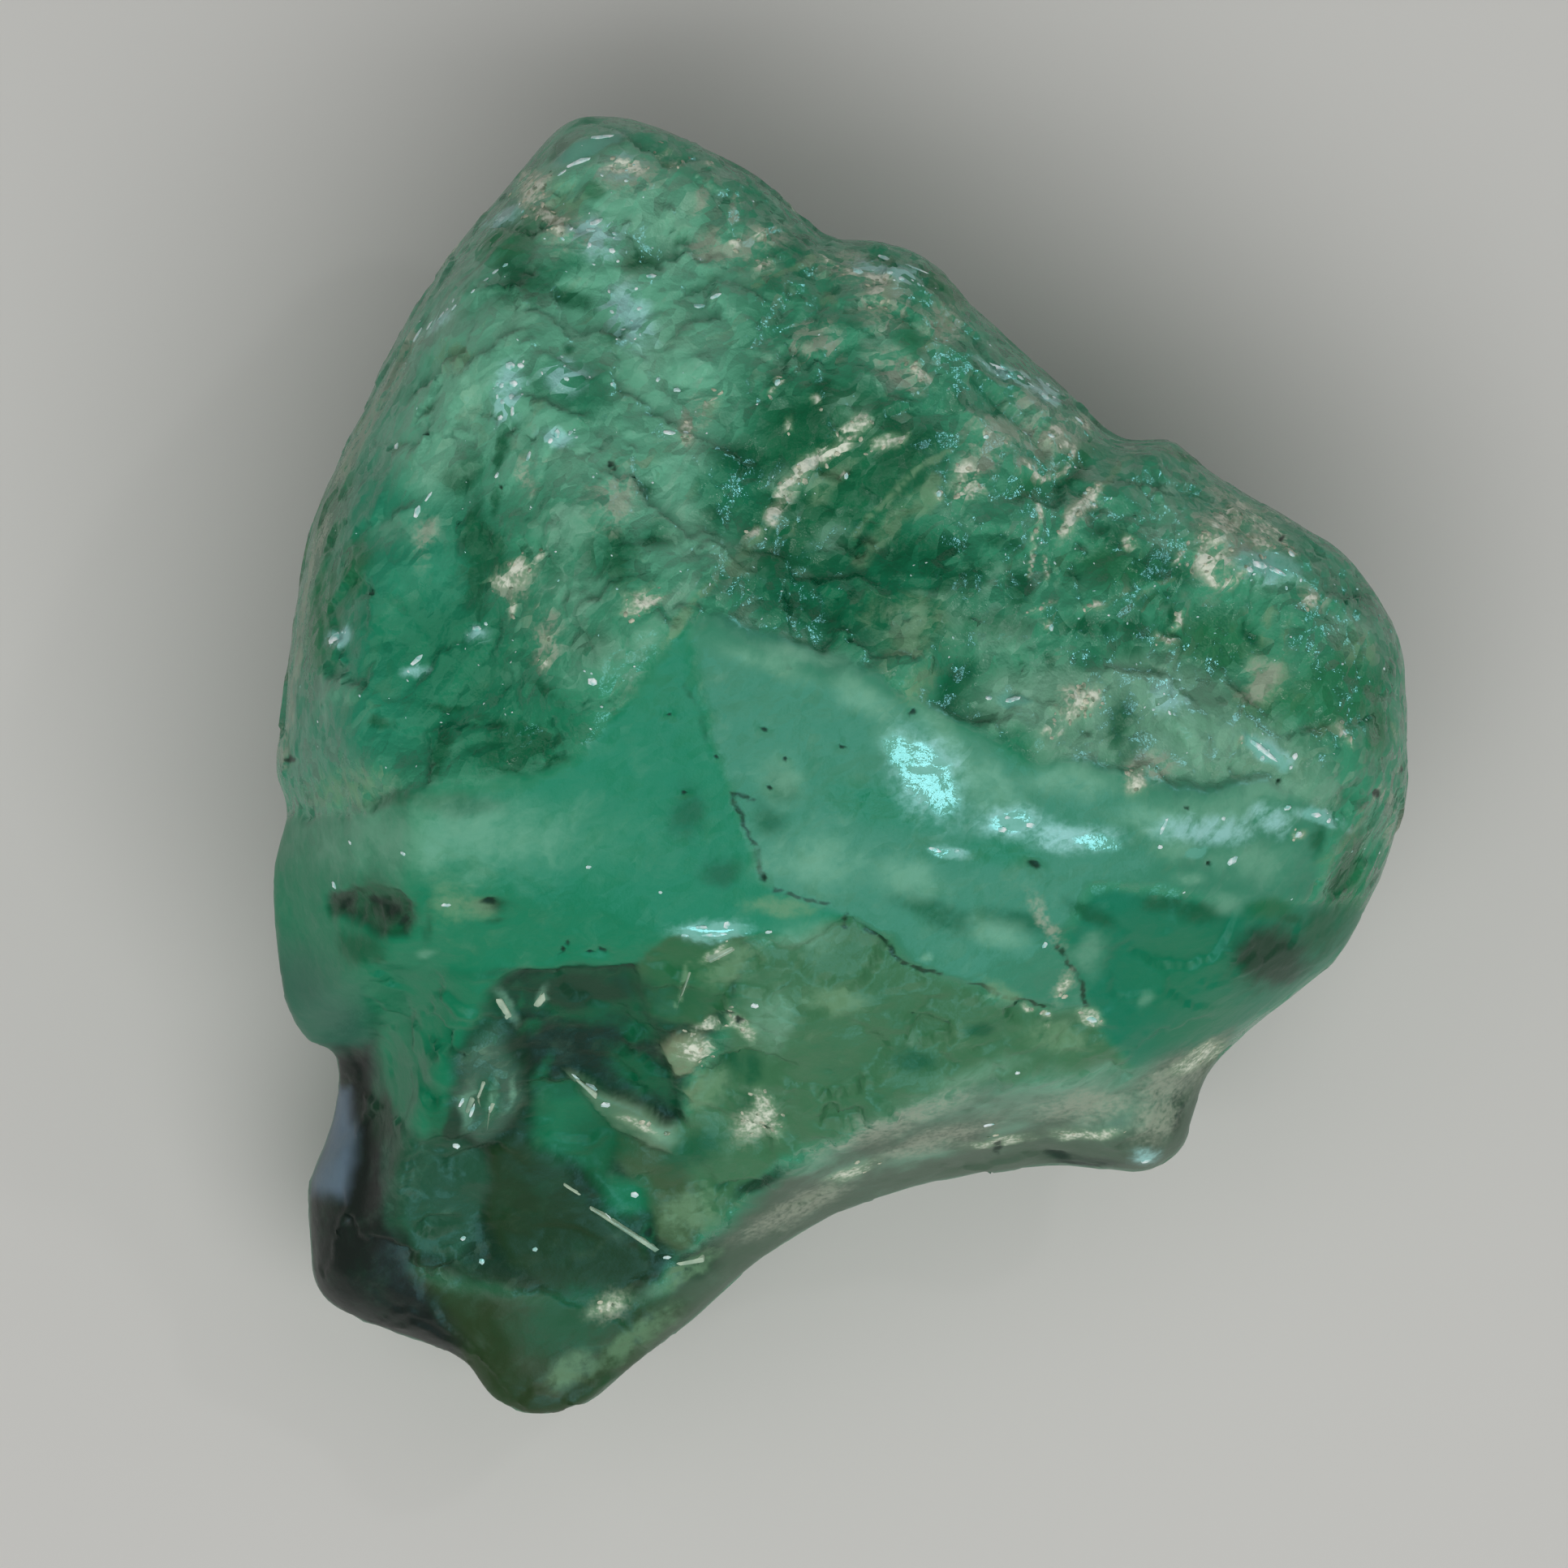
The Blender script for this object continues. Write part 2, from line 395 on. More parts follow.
            (1088, 367, 40, 16, -45), (1005, 428, 62, 24, -4), (1000, 405, 50, 30, 0),
            (1112, 462, 76, 26, -44), (860, 515, 70, 34, 75), (1205, 575, 70, 44, 45),
            (1225, 550, 70, 34, 10), (1290, 545, 90, 36, 5), (1335, 520, 44, 26, 15),
            (1322, 640, 80, 26, 62), (1280, 580, 60, 30, -10), (1510, 655, 90, 50, 40),
            (1500, 705, 60, 40, 0), (1520, 615, 80, 20, -30), (1580, 640, 60, 16, -28),
            (1612, 742, 40, 28, -20), (1395, 962, 44, 30, 75), (1720, 1000, 110, 24, 82),
            (1700, 975, 30, 18, 0), (760, 620, 90, 60, 80), (530, 665, 60, 34, 70), (655, 590, 50, 30, 80),
            (640, 720, 60, 50, 45), (680, 790, 80, 40, 80), (1285, 1130, 70, 24, -55),
            (1308, 1212, 50, 22, 75), (1340, 1365, 150, 44, 4), (1470, 1320, 110, 50, 32),
            (1430, 1380, 90, 60, 60), (1100, 1385, 220, 34, 22), (980, 1495, 170, 34, 28),
            (930, 1385, 66, 46, 40), (745, 1620, 60, 36, 30), (1490, 1300, 80, 34, 30),
        ),
        strokes=(
            (24, (508, 420), (485, 460), (462, 505), (440, 545), (420, 585)),
            (16, (400, 640), (382, 700), (370, 760), (362, 820), (355, 880), (345, 940)),
        ),
    ),
    # bluish frost
    "ice": dict(
        patches=(
            (1440, 860, 50, 40, 0), (1300, 1030, 120, 34, -8), (1480, 1020, 140, 40, 0),
            (1560, 1010, 60, 40, 0), (1555, 700, 70, 30, -10), (1075, 330, 50, 30, -10),
            (770, 205, 60, 30, 0), (620, 266, 64, 26, 30), (735, 297, 66, 60, 0), (775, 395, 90, 52, -60),
            (545, 395, 50, 20, 40), (1105, 337, 70, 26, -14), (1285, 485, 50, 34, -40),
            (1240, 465, 80, 20, -25), (520, 828, 34, 18, 0), (592, 782, 30, 22, 0), (418, 786, 34, 24, 30),
            (700, 470, 60, 40, 0), (690, 542, 50, 20, 0), (630, 490, 80, 40, 80), (1555, 705, 90, 30, -10),
            (1560, 925, 80, 26, -30), (1620, 1003, 70, 18, -15), (1140, 955, 130, 90, -55),
            (1245, 1012, 90, 44, 0), (875, 1144, 100, 30, 3), (1330, 1030, 90, 30, 0),
            (1170, 1047, 50, 16, -10), (1420, 1432, 40, 24, 0),
        ),
    ),
    # cream: iron-stained crust and healed cracks
    "cream": dict(
        patches=(
            (745, 1618, 60, 16, 30), (855, 1290, 40, 50, 60), (915, 1262, 50, 16, -60),
            (945, 1370, 26, 60, 20), (795, 745, 50, 30, 30), (652, 226, 46, 34, 0), (672, 262, 56, 26, -50),
            (1340, 1400, 90, 16, 0), (1230, 1410, 80, 12, 5), (1470, 1315, 56, 18, 30),
            (1050, 1450, 70, 16, 24), (1075, 345, 50, 18, -20), (1325, 868, 44, 30, 20),
            (1552, 672, 56, 22, -20), (665, 240, 30, 60, -30), (1510, 640, 90, 26, 35),
            (1490, 690, 50, 40, 0), (1560, 660, 60, 24, -30), (1320, 870, 60, 36, 20),
            (1080, 370, 24, 40, 30), (658, 236, 30, 50, -30), (770, 205, 60, 18, 0), (1395, 965, 24, 40, 0),
            (1130, 460, 50, 18, -40), (663, 220, 24, 14, 20), (785, 212, 26, 14, -10),
            (815, 180, 30, 12, 20), (832, 195, 30, 18, 10), (873, 199, 12, 10, 0), (936, 290, 20, 14, 10),
            (905, 303, 18, 16, 0), (940, 328, 24, 18, 0), (875, 505, 40, 20, 70), (850, 540, 40, 20, 80),
            (958, 475, 14, 11, 60), (950, 490, 12, 9, 60), (970, 530, 20, 9, 80), (1006, 502, 18, 10, -40),
            (1042, 590, 14, 9, 80), (1085, 550, 40, 18, 20), (1108, 545, 24, 9, 50), (1060, 528, 22, 18, 0),
            (1190, 605, 50, 36, 40), (1185, 590, 30, 24, 60), (1155, 612, 14, 12, 0),
            (1213, 541, 12, 10, 0), (1243, 545, 10, 8, 0), (1262, 536, 13, 9, 80), (1294, 538, 22, 16, 0),
            (1308, 550, 12, 9, 0), (1333, 518, 26, 18, 0), (1335, 609, 10, 9, 0), (1346, 624, 9, 9, 0),
            (1312, 655, 22, 14, 40), (1390, 675, 26, 12, -70), (1450, 690, 22, 12, 60),
            (1448, 768, 26, 10, 85), (1435, 790, 30, 16, 0), (1290, 775, 13, 10, 80),
            (1335, 752, 34, 12, 15), (1283, 750, 34, 10, 20), (1495, 665, 44, 30, 30),
            (1520, 655, 30, 16, 40), (1543, 640, 30, 20, 60), (1591, 683, 18, 12, -45),
            (1612, 745, 22, 14, 0), (1656, 905, 36, 11, -66), (1522, 912, 20, 11, 80),
            (1335, 862, 34, 24, 30), (1315, 880, 50, 26, 20), (1290, 900, 30, 16, 20),
            (1345, 1257, 30, 18, -12), (1265, 1240, 20, 9, -20), (1290, 1248, 12, 10, 0),
            (1292, 1262, 10, 9, 0), (1308, 1215, 36, 14, 75), (1597, 1028, 20, 18, 0),
            (642, 702, 40, 26, 40), (665, 686, 14, 12, 0), (632, 722, 44, 16, 10), (639, 752, 30, 9, 85),
            (675, 817, 18, 16, 0), (685, 787, 20, 14, 0), (925, 660, 24, 10, 40), (885, 1172, 36, 12, 36),
            (875, 1262, 44, 10, 8), (930, 1385, 50, 34, 40), (1395, 960, 26, 18, 75),
            (1490, 1300, 50, 24, 30), (790, 1385, 60, 14, -25),
        ),
        strokes=(
            (16, (645, 214), (652, 238), (668, 258), (684, 272), (690, 290)), (12, (684, 272), (702, 270)),
            (22, (1062, 526), (1030, 553), (1000, 575), (975, 600), (950, 638)),
            (9, (1013, 320), (1030, 330), (1046, 340)), (12, (1350, 600), (1330, 630), (1308, 658)),
            (8, (1276, 620), (1282, 645), (1270, 662)), (7, (1265, 668), (1269, 692), (1262, 716)),
            (7, (1286, 690), (1290, 720)), (8, (1262, 572), (1284, 590), (1312, 578), (1320, 556)),
            (9, (1478, 688), (1481, 706), (1495, 722), (1518, 714), (1532, 700)),
        ),
    ),
    # glass-smooth skin, which mirrors the lights
    "glaze": dict(
        patches=(
            (1242, 1010, 46, 22, 10), (1160, 1047, 34, 9, -12), (1345, 1035, 50, 16, -10),
            (1470, 1050, 30, 12, 20), (1112, 930, 60, 36, -42), (1150, 968, 70, 44, -45),
            (1135, 950, 90, 50, -45), (880, 1146, 90, 20, 3), (1560, 700, 80, 26, -8),
            (1556, 925, 70, 18, -36), (1242, 862, 46, 18, -8), (726, 182, 90, 20, 30),
            (1619, 1004, 40, 14, -20),
        ),
    ),
    # pits and dark grains
    "dark": dict(
        patches=(
            (466, 1112, 30, 13, -15), (494, 1134, 18, 9, 60), (425, 1116, 22, 11, 35),
            (606, 1106, 26, 9, 5), (480, 1121, 17, 15, 0), (698, 1165, 25, 6, 45), (745, 1169, 10, 7, 0),
            (730, 1172, 13, 4, 0), (1119, 877, 11, 9, 60), (940, 901, 10, 6, -20), (1040, 915, 8, 6, -20),
            (968, 938, 8, 5, 60), (945, 970, 10, 6, 0), (973, 827, 10, 6, 0), (842, 973, 8, 6, 0),
            (822, 881, 6, 6, 0), (884, 930, 6, 5, 0), (942, 1081, 12, 8, 80), (1488, 1063, 10, 8, 10),
            (1578, 962, 12, 6, 30), (1577, 663, 10, 7, 70), (755, 578, 13, 8, -30), (620, 606, 6, 6, 0),
            (1268, 1065, 21, 13, -30), (572, 1296, 7, 6, 0), (946, 1389, 10, 6, 85), (912, 1252, 14, 6, 75),
            (900, 1245, 18, 6, 8), (1125, 1250, 6, 6, 0), (1235, 1420, 21, 13, 80),
            (1695, 975, 14, 11, -40), (1733, 950, 11, 6, 80), (1453, 994, 6, 5, 0), (355, 932, 14, 10, 0),
            (607, 1104, 18, 6, 5), (800, 1525, 21, 10, 60), (425, 1112, 17, 8, 35),
            (1305, 1432, 35, 13, -6), (1340, 1442, 80, 10, -3),
        ),
    ),
}

# Silvery chips on the front, written as the patches are: slivers of crystal with air under them,
# which throw the light back.
SILVERY_CHIPS = (
    (741, 167, 34, 8, 32), (712, 200, 38, 8, 22), (692, 213, 16, 6, 50), (618, 270, 12, 10, 30),
    (735, 275, 22, 10, 40), (728, 286, 13, 8, 0), (755, 312, 9, 8, 0), (758, 290, 9, 7, 0),
    (803, 343, 16, 6, 20), (862, 380, 17, 9, 15), (882, 368, 18, 6, 30), (632, 456, 14, 11, 0),
    (645, 456, 9, 8, 0), (636, 478, 13, 9, 0), (621, 480, 8, 7, 0), (634, 494, 11, 8, 80),
    (635, 512, 14, 7, 80), (620, 521, 13, 10, 60), (623, 500, 8, 7, 0), (690, 540, 14, 8, 85),
    (706, 538, 13, 6, 85), (682, 549, 9, 6, 60), (826, 538, 19, 8, 5), (846, 538, 9, 5, 0),
    (835, 485, 10, 8, 0), (758, 479, 8, 7, 0), (812, 472, 9, 6, 60), (655, 567, 15, 7, 80),
    (616, 590, 9, 7, 60), (515, 413, 24, 7, 48), (530, 402, 16, 6, 40), (545, 391, 14, 6, 30),
    (561, 382, 12, 5, 20), (491, 553, 13, 8, 70), (518, 634, 19, 8, 70), (532, 615, 18, 4, 55),
    (416, 787, 24, 14, 40), (518, 815, 24, 7, 42), (592, 777, 15, 8, -10), (600, 348, 10, 5, 50),
    (612, 338, 12, 5, 50), (624, 330, 9, 5, 50), (585, 362, 8, 4, 50), (734, 842, 14, 12, 0),
    (1057, 335, 15, 13, 0), (1090, 316, 21, 6, -25), (1096, 336, 9, 8, 0), (1110, 344, 9, 8, 0),
    (1130, 330, 38, 4, -22), (1227, 452, 26, 5, -18), (1257, 466, 11, 8, 0), (1287, 489, 14, 11, 0),
    (1270, 474, 12, 4, -20), (1550, 697, 26, 12, 10), (1572, 704, 30, 9, -22), (1538, 703, 12, 10, 0),
    (1553, 925, 50, 8, -36), (1592, 932, 11, 8, 60), (1583, 995, 11, 8, 0), (1619, 1004, 19, 7, -20),
    (1635, 1011, 11, 7, 0), (1215, 861, 10, 8, 0), (1244, 863, 24, 9, -8), (1232, 1021, 12, 9, 0),
    (1238, 1007, 9, 7, 0), (1266, 1016, 12, 8, 0), (1150, 1046, 19, 6, -25), (1177, 1048, 8, 7, 0),
    (1425, 1043, 8, 7, 0), (1429, 1018, 28, 6, 75), (1503, 1008, 7, 6, 0), (1515, 1060, 18, 11, 30),
    (865, 1141, 17, 9, 0), (896, 1138, 12, 9, 70), (845, 1151, 11, 6, 0), (880, 1150, 38, 6, 4),
    (947, 1147, 10, 7, 0), (1285, 1163, 11, 8, 80), (930, 1238, 12, 10, 0), (434, 1038, 9, 7, 0),
    (502, 1051, 9, 7, 0), (413, 1090, 12, 7, -60), (553, 1114, 15, 8, 8), (815, 1098, 6, 5, 0),
    (728, 1067, 8, 6, 0), (727, 1341, 21, 9, -22), (745, 1363, 14, 12, 0), (708, 1328, 16, 4, -40),
    (580, 1370, 28, 6, 78), (603, 1367, 12, 6, 75), (567, 1360, 19, 5, 75), (559, 1415, 11, 9, 0),
    (780, 1477, 12, 10, 0), (565, 1533, 10, 8, 60), (588, 1563, 9, 8, 60), (655, 1547, 8, 7, 0),
    (820, 1557, 12, 6, 0), (745, 1505, 24, 5, -45), (1220, 1389, 16, 8, 0), (1254, 1322, 8, 7, 0),
    (1419, 1437, 16, 11, 0), (1335, 609, 7, 6, 0), (1346, 624, 7, 6, 0), (1591, 683, 11, 7, -45),
    (1597, 1028, 11, 10, 0), (1656, 905, 22, 5, -66), (1290, 1248, 7, 6, 0), (1345, 1256, 16, 8, -12),
    (1213, 541, 8, 7, 0), (1262, 535, 9, 7, 60), (1294, 538, 12, 10, 0), (1330, 518, 17, 10, 0),
    (1155, 612, 10, 8, 90), (1292, 775, 11, 8, 80), (958, 475, 11, 8, 60), (1042, 590, 10, 6, 80),
)

# Splinters in the broken hollow under the smooth band: (across, down, length, width, turn, lean,
# thickness in mm, height of the middle above the skin in mm, width of the near end as a share).
SPLINTERS = (
    (888, 1173, 44, 14, 36, 20, 0.20, -0.05, 0.6), (668, 1231, 34, 13, 70, -10, 0.20, -0.07, 0.8),
    (624, 1246, 50, 12, -65, 10, 0.20, -0.07, 0.8), (768, 1518, 118, 8, -42, 20, 0.24, -0.06, 0.3),
    (704, 1470, 34, 6, -50, 15, 0.20, -0.07, 0.5), (576, 1362, 30, 8, 76, 10, 0.20, -0.06, 0.6),
    (603, 1367, 22, 7, 75, 10, 0.20, -0.07, 0.6), (590, 1345, 40, 6, 78, 10, 0.20, -0.08, 0.6),
    (850, 1562, 40, 10, 12, 10, 0.20, -0.07, 0.6), (848, 1200, 60, 5, 72, 10, 0.20, -0.07, 0.4),
    (722, 1340, 40, 9, -36, 15, 0.24, -0.04, 0.4),
)

# A splinter is the hull of a box's corners, each drawn in by its own share, and of a few points more.
# Its edges are worn by this much, in mm.
CORNERS_DRAWN_IN = (0.7, 1.0)
POINTS_MORE, POINTS_REACH = 5, 0.95
SPLINTER_BEVEL = 0.012

# Frost glitters in loose clusters on the rough upper face, inside these corners of the picture. How
# wide a cluster is, in mm, and the level of the uneven values above which there is one. Frost lies
# only where a zone is rougher than this.
GLITTER_CORNERS = ((330, 140), (1760, 1120))
GLITTER_CLUSTER, GLITTER_LEVEL = 0.8, 0.15
FROST_ROUGHNESS = 0.5
# How far out grains are strewn over a patch, as a share of its size, and how wide a strewn grain and
# a glittering chip are, as shares of their lengths.
STREWN_REACH = 0.65
STREWN_WIDTHS, GLITTER_WIDTHS = (0.5, 0.9), (0.4, 0.8)
# A chip lies only where at least this share of the skin's direction is upwards, and leans by up to
# this many degrees. Its faces are pushed in and out by noise: by how much, in mm, and how many swells
# there are in a mm.
LEAST_UPWARDS, CHIP_LEAN = 0.15, 25
CHIP_UNEVENNESS, CHIP_SWELLS = 0.03, 9.0

# Beryl's refractive index, the colour of the light that comes through the body, and how much of the
# rest a metre of the body takes away.
BERYL_IOR = 1.58
BODY_COLOUR = (0.08, 0.72, 0.45, 1)
BODY_DENSITY = 420.0
# The skin is a little duller than polished beryl, and nowhere quite clear.
SKIN_SPECULAR = 0.28
CLEAREST = 0.97
SKIN_ROUGHNESS_LIMITS = (0.05, 0.8)

# Fine patterns in the body: the size of a swell in mm, octaves, how much the small ones count, and
# the space that it is drawn in. Swirled space is stirred a little; combed space is drawn out along
# the streaks of the upper face. Each pattern is moved aside, so that no two are alike. The broadest
# swells are values on the mesh's points.
SWIRL_SIZE, SWIRL_REACH, SWIRL_OCTAVES = 0.45, 0.10, 2
BROAD_SIZE, BROAD_AMOUNT = 1.5, 0.14
MOVED_ASIDE = 37.0
STREAK_TURN, STREAK_STRETCH = 42.0, (2.4, 0.85, 1.0)
PATTERNS = {
    "cloud": (0.55, 4, 0.60, "swirled"),
    "haze": (0.42, 4, 0.62, "swirled"),
    "streak": (0.42, 4, 0.60, "combed"),
    "crumb": (0.20, 3, 0.70, "plain"),
    "grit": (0.06, 1, 0.60, "plain"),
}
# Broken grains: how wide they are in mm, the space, and how far their faces lean. Each grain has its
# own shade and its own lean, and both are weaker where the zone is smooth.
GRAINS = {"flakes": (0.34, "swirled", 0.30), "grains": (0.13, "combed", 0.45)}
# From a smooth zone to a rough one: how dull the skin is and how strong its bump. A smooth zone has a
# soft sheen, and a rough one is made of small glossy faces.
ROUGHNESS_RANGE = (0.44, 0.22)
BUMP_RANGE = (0.15, 0.80)
BUMP_DEPTH = 0.03
# The zone values that the skin's material reads.
SKIN_VALUES = ("milk", "mottle", "rough")
# The small pieces' noise: between which of its values the shade and the gloss change, by how much the
# gloss does, and how strong the bump is.
SHADE_SPAN, GLOSS_SPAN, GLOSS_CHANGE = (0.35, 0.65), (0.3, 0.7), 0.08
BROKEN_BUMP = 0.3

# What is laid over the zones' greens, in this order. The first ones are everywhere that a zone is
# mottled, and the others follow the marks. A layer covers where its noise passes through the span:
# over the marks, one and the noise are multiplied by the mark, so that nothing shows beyond it. A
# layer's mark has the layer's name, unless the layer says which. A layer adds to how clear and how
# rough the skin is.
LAYERS = {
    "shadow_green": dict(
        tint="#0C7A50", share=0.70, clear=0.03, rough=-0.05, span=(-0.05, 0.40),
        noise={"cloud": 1.0, "broad": 0.5, "streak": 0.5, "flakes": 0.30, "grains": 0.20},
    ),
    "haze_green": dict(
        tint="#8CC4AA", share=0.65, clear=-0.1, rough=0.05, span=(0.0, 0.50),
        noise={"haze": 1.0, "broad": -0.4, "streak": 0.5, "flakes": 0.25, "grains": 0.40},
    ),
    "khaki_film": dict(
        tint="#93AA84", share=0.55, clear=-0.2, rough=0.1, span=(0.08, 0.55),
        noise={"streak": 1.0, "broad": 0.8, "crumb": 0.5, "grains": 0.35},
    ),
    "teal": dict(
        tint="#0E8A60", share=0.80, clear=0.0, rough=-0.05, span=(0.10, 0.95),
        noise={"cloud": 0.8, "flakes": 0.4, "grains": 0.2},
    ),
    "leaf": dict(
        tint="#22804C", share=0.75, clear=0.0, rough=-0.05, span=(0.10, 0.95),
        noise={"cloud": 0.8, "flakes": 0.4, "grains": 0.2},
    ),
    "deep": dict(
        tint="#006A42", share=0.85, clear=0.0, rough=0.06, span=(0.12, 1.00),
        noise={"cloud": 1.2, "crumb": 1.0, "flakes": 0.6, "grains": 0.4},
    ),
    "smoke": dict(
        tint="#17402A", share=0.9, clear=-0.1, rough=0.0, span=(0.10, 0.80),
        noise={"cloud": 1.0, "crumb": 0.5},
    ),
    "haze": dict(
        tint="#86C2A4", share=0.55, clear=-0.15, rough=0.05, span=(0.15, 1.15),
        noise={"haze": 1.4, "crumb": 0.6, "flakes": 0.4, "grains": 0.6},
    ),
    "olive": dict(
        tint="#74A07A", share=0.7, clear=-0.25, rough=0.1, span=(0.20, 1.05),
        noise={"haze": 1.4, "crumb": 1.6, "flakes": 0.5, "grains": 0.7},
    ),
    "clay": dict(
        tint="#A6B09C", share=0.68, clear=-0.3, rough=0.1, span=(0.20, 1.20),
        noise={"haze": 1.4, "crumb": 1.4, "flakes": 0.5, "grains": 1.0, "grit": 1.6},
    ),
    "ice": dict(
        tint="#A6E2DE", share=0.8, clear=-0.3, rough=-0.14, span=(0.22, 1.15),
        noise={"haze": 1.2, "crumb": 1.8, "grains": 1.2},
    ),
    "cream_stain": dict(
        mark="cream", tint="#8EAE8C", share=0.75, clear=-0.5, rough=0.1, span=(0.10, 1.00),
        noise={"crumb": 1.8, "flakes": 0.4, "grains": 0.8},
    ),
    "cream": dict(
        tint="#F0F6E4", share=0.92, clear=-0.4, rough=0.1, span=(0.42, 1.50),
        noise={"crumb": 1.8, "grains": 1.2, "grit": 2.0},
    ),
    "glaze": dict(
        tint="#6FC0AC", share=0.60, clear=-0.1, rough=-0.56, span=(0.20, 0.60), noise={"crumb": 1.0},
    ),
    "dark": dict(
        tint="#0A3020", share=0.95, clear=-0.4, rough=0.1, span=(0.25, 0.80), noise={"crumb": 0.6},
    ),
}

# The studio, in metres and watts. The floor is a hair below the stone, so that their faces never meet.
FLOOR_RADIUS, FLOOR_SIDES, FLOOR_GAP = 1.2, 96, 0.00002
ROOM_GREY = 0.13
CLIP_START, CLIP_END = 0.01, 10
STONE_MIDDLE = (0, 0, 0.004)
# Each lamp is aimed at the stone's middle: heading and elevation in degrees, distance, size and power.
# The big softbox is behind a polarising sheet: it lights the body and leaves no glare on the skin.
LAMPS = {
    "sparkle_light": (35, 52, 0.13, (0.007, 0.007), 0.0045),
    "front_softbox": (275, 62, 0.16, (0.20, 0.10), 0.18),
    "left_softbox": (170, 50, 0.18, (0.14, 0.14), 0.03),
    "back_softbox": (50, 55, 0.18, (0.14, 0.14), 0.03),
}
POLARISED = "front_softbox"
# A glint lamp is a small cyan one that shows only in reflections, given by a place on the front and a
# power. It hangs where the skin around that place, GLINT_REACH pixels each way, mirrors it straight up
# to the camera.
GLINTS = {
    "fan_glint": ((1136, 960), 0.015),
    "ledge_glint": ((880, 1146), 0.016),
    "shoulder_glint": ((1558, 700), 0.030),
}
GLINT_DISTANCE, GLINT_SIZE, GLINT_TONE = 0.13, 0.016, "#A0F0FF"
GLINT_REACH = 20

# The mesh: points of the CAD's loose triangles that are this close, in metres, are one. How fine the
# mesh starts, how often it is smoothed, and how much of it is kept once the back is thinned.
SAME_POINT = 1e-7
FRONT_SPACING = 0.065
SMOOTHING_ROUNDS = 4
TRIANGLES_KEPT = 0.58

# Relief: chips with flat faces, grain and wide swells, how much of the swells a smooth zone has, and
# how much of it all stays on the steep rim. Lengths are in mm.
CHIP_SPACING = 0.70
CHIP_SLOPE = 0.10
CHIPS_COMPARED = 4
GRAIN_HEIGHT = 0.012
GRAIN_LENGTH = 0.30
SWELL_HEIGHT = 0.03
SWELL_LENGTH = 1.3
SMOOTH_SWELL = 0.2
RIM_RELIEF = 0.35
# How much of the skin's direction is upwards where the front's marks end and begin, and where the rim
# does; and how high above the floor the relief is whole, in mm.
FRONT_SLOPES = (-0.1, 0.3)
RIM_SLOPES = (0.2, 0.6)
FOOT_HEIGHT = 0.5
# How the edges of zones and marks wander, as swells this long and moves this far, in mm.
EDGE_WANDERS = ((0.55, 0.07), (0.16, 0.025))
WANDER_OCTAVES = 2
# How fast a mark fades with the distance from its middle, and where it ends, in half widths.
MARK_FADE, MARK_END = 0.8, 5
# How high a mark stands above the skin, in mm.
MARK_HEIGHTS = {"cream": 0.02, "clay": 0.006, "deep": -0.008, "dark": -0.05}

# Marks on the sides and back, which the photograph doesn't show: how wide they are in mm, and the
# level of the uneven values above which they show. The sharpness is how fast they do.
UNSEEN_MARKS = {"deep": (1.4, 0.25), "leaf": (2.0, 0.20), "olive": (1.1, 0.30), "clay": (1.6, 0.35),
                "cream": (0.8, 0.45), "dark": (0.9, 0.55)}
UNSEEN_SHARPNESS = 4

# Uneven values: how fast their finer swells fade, how much finer each is than the one before, how many
# there are, and how far one seed's are from the next one's.
SWELL_FADE, SWELL_GAP, SWELL_OCTAVES = 0.7, 2.2, 3
SEED_STEPS, WANDER_STEPS = (17.1, 9.7, 5.3), (3.1, 7.9, 1.3)

# The Mix node's sockets for colours, and the middle of what a noise node gives.
MIX_SHARE, MIX_UNDER, MIX_OVER, MIX_RESULT = 0, 6, 7, 2
NOISE_MIDDLE = 0.5

# Where a ray that looks for the skin starts, in mm above the floor.
ABOVE_STONE = 20


def on_front(places):
    """Places in the photograph as x and y on the stone."""
    places = np.atleast_2d(np.array(places, float))
    across = (places[:, 0] - MIDDLE_ACROSS) * MM_PER_PIXEL
    along = (MIDDLE_DOWN - places[:, 1]) * MM_PER_PIXEL
    return np.column_stack([across, along])


def fractal(points, length, seed):
    """Uneven values, about -1 to 1, whose widest swell is the length given."""
    shift = Vector([seed * step for step in SEED_STEPS])
    places = [Vector(p) / length + shift for p in points]
    return np.array([noise.fractal(place, SWELL_FADE, SWELL_GAP, SWELL_OCTAVES) for place in places])


def wandering(points):
    """The points moved a little, so that what is drawn through them gets an uneven edge."""
    moved = points.copy()
    for seed, (length, amount) in enumerate(EDGE_WANDERS, 1):
        shift = Vector([seed * step for step in WANDER_STEPS])
        moves = [noise.turbulence_vector(Vector(p) / length + shift, WANDER_OCTAVES, False) for p in points]
        moved += amount * np.array(moves)
    return moved


def smooth_step(low, high, value):
    """0 below the low value and 1 above the high one, with a soft change between them."""
    way = np.clip((value - low) / (high - low), 0, 1)
    return way * way * (3 - 2 * way)


def distance_to_line(places, xy):
    """The distance from each point to a line through the places."""
    nearest = np.full(len(xy), np.inf)
    for start, end in zip(places[:-1], places[1:]):
        side = end - start
        along = np.clip(((xy - start) @ side) / (side @ side), 0, 1)
        nearest = np.minimum(nearest, np.hypot(*(xy - start - along[:, None] * side).T))
    return nearest


def depth_inside(outline, xy):
    """The distance in from an outline, negative outside it."""
    corners = on_front(outline + outline[:1])
    within = np.zeros(len(xy), bool)
    for (x0, y0), (x1, y1) in zip(corners[:-1], corners[1:]):
        if y0 != y1:
            crosses = (y0 > xy[:, 1]) != (y1 > xy[:, 1])
            within ^= crosses & (xy[:, 0] < x0 + (x1 - x0) / (y1 - y0) * (xy[:, 1] - y0))
    return distance_to_line(corners, xy) * np.where(within, 1, -1)


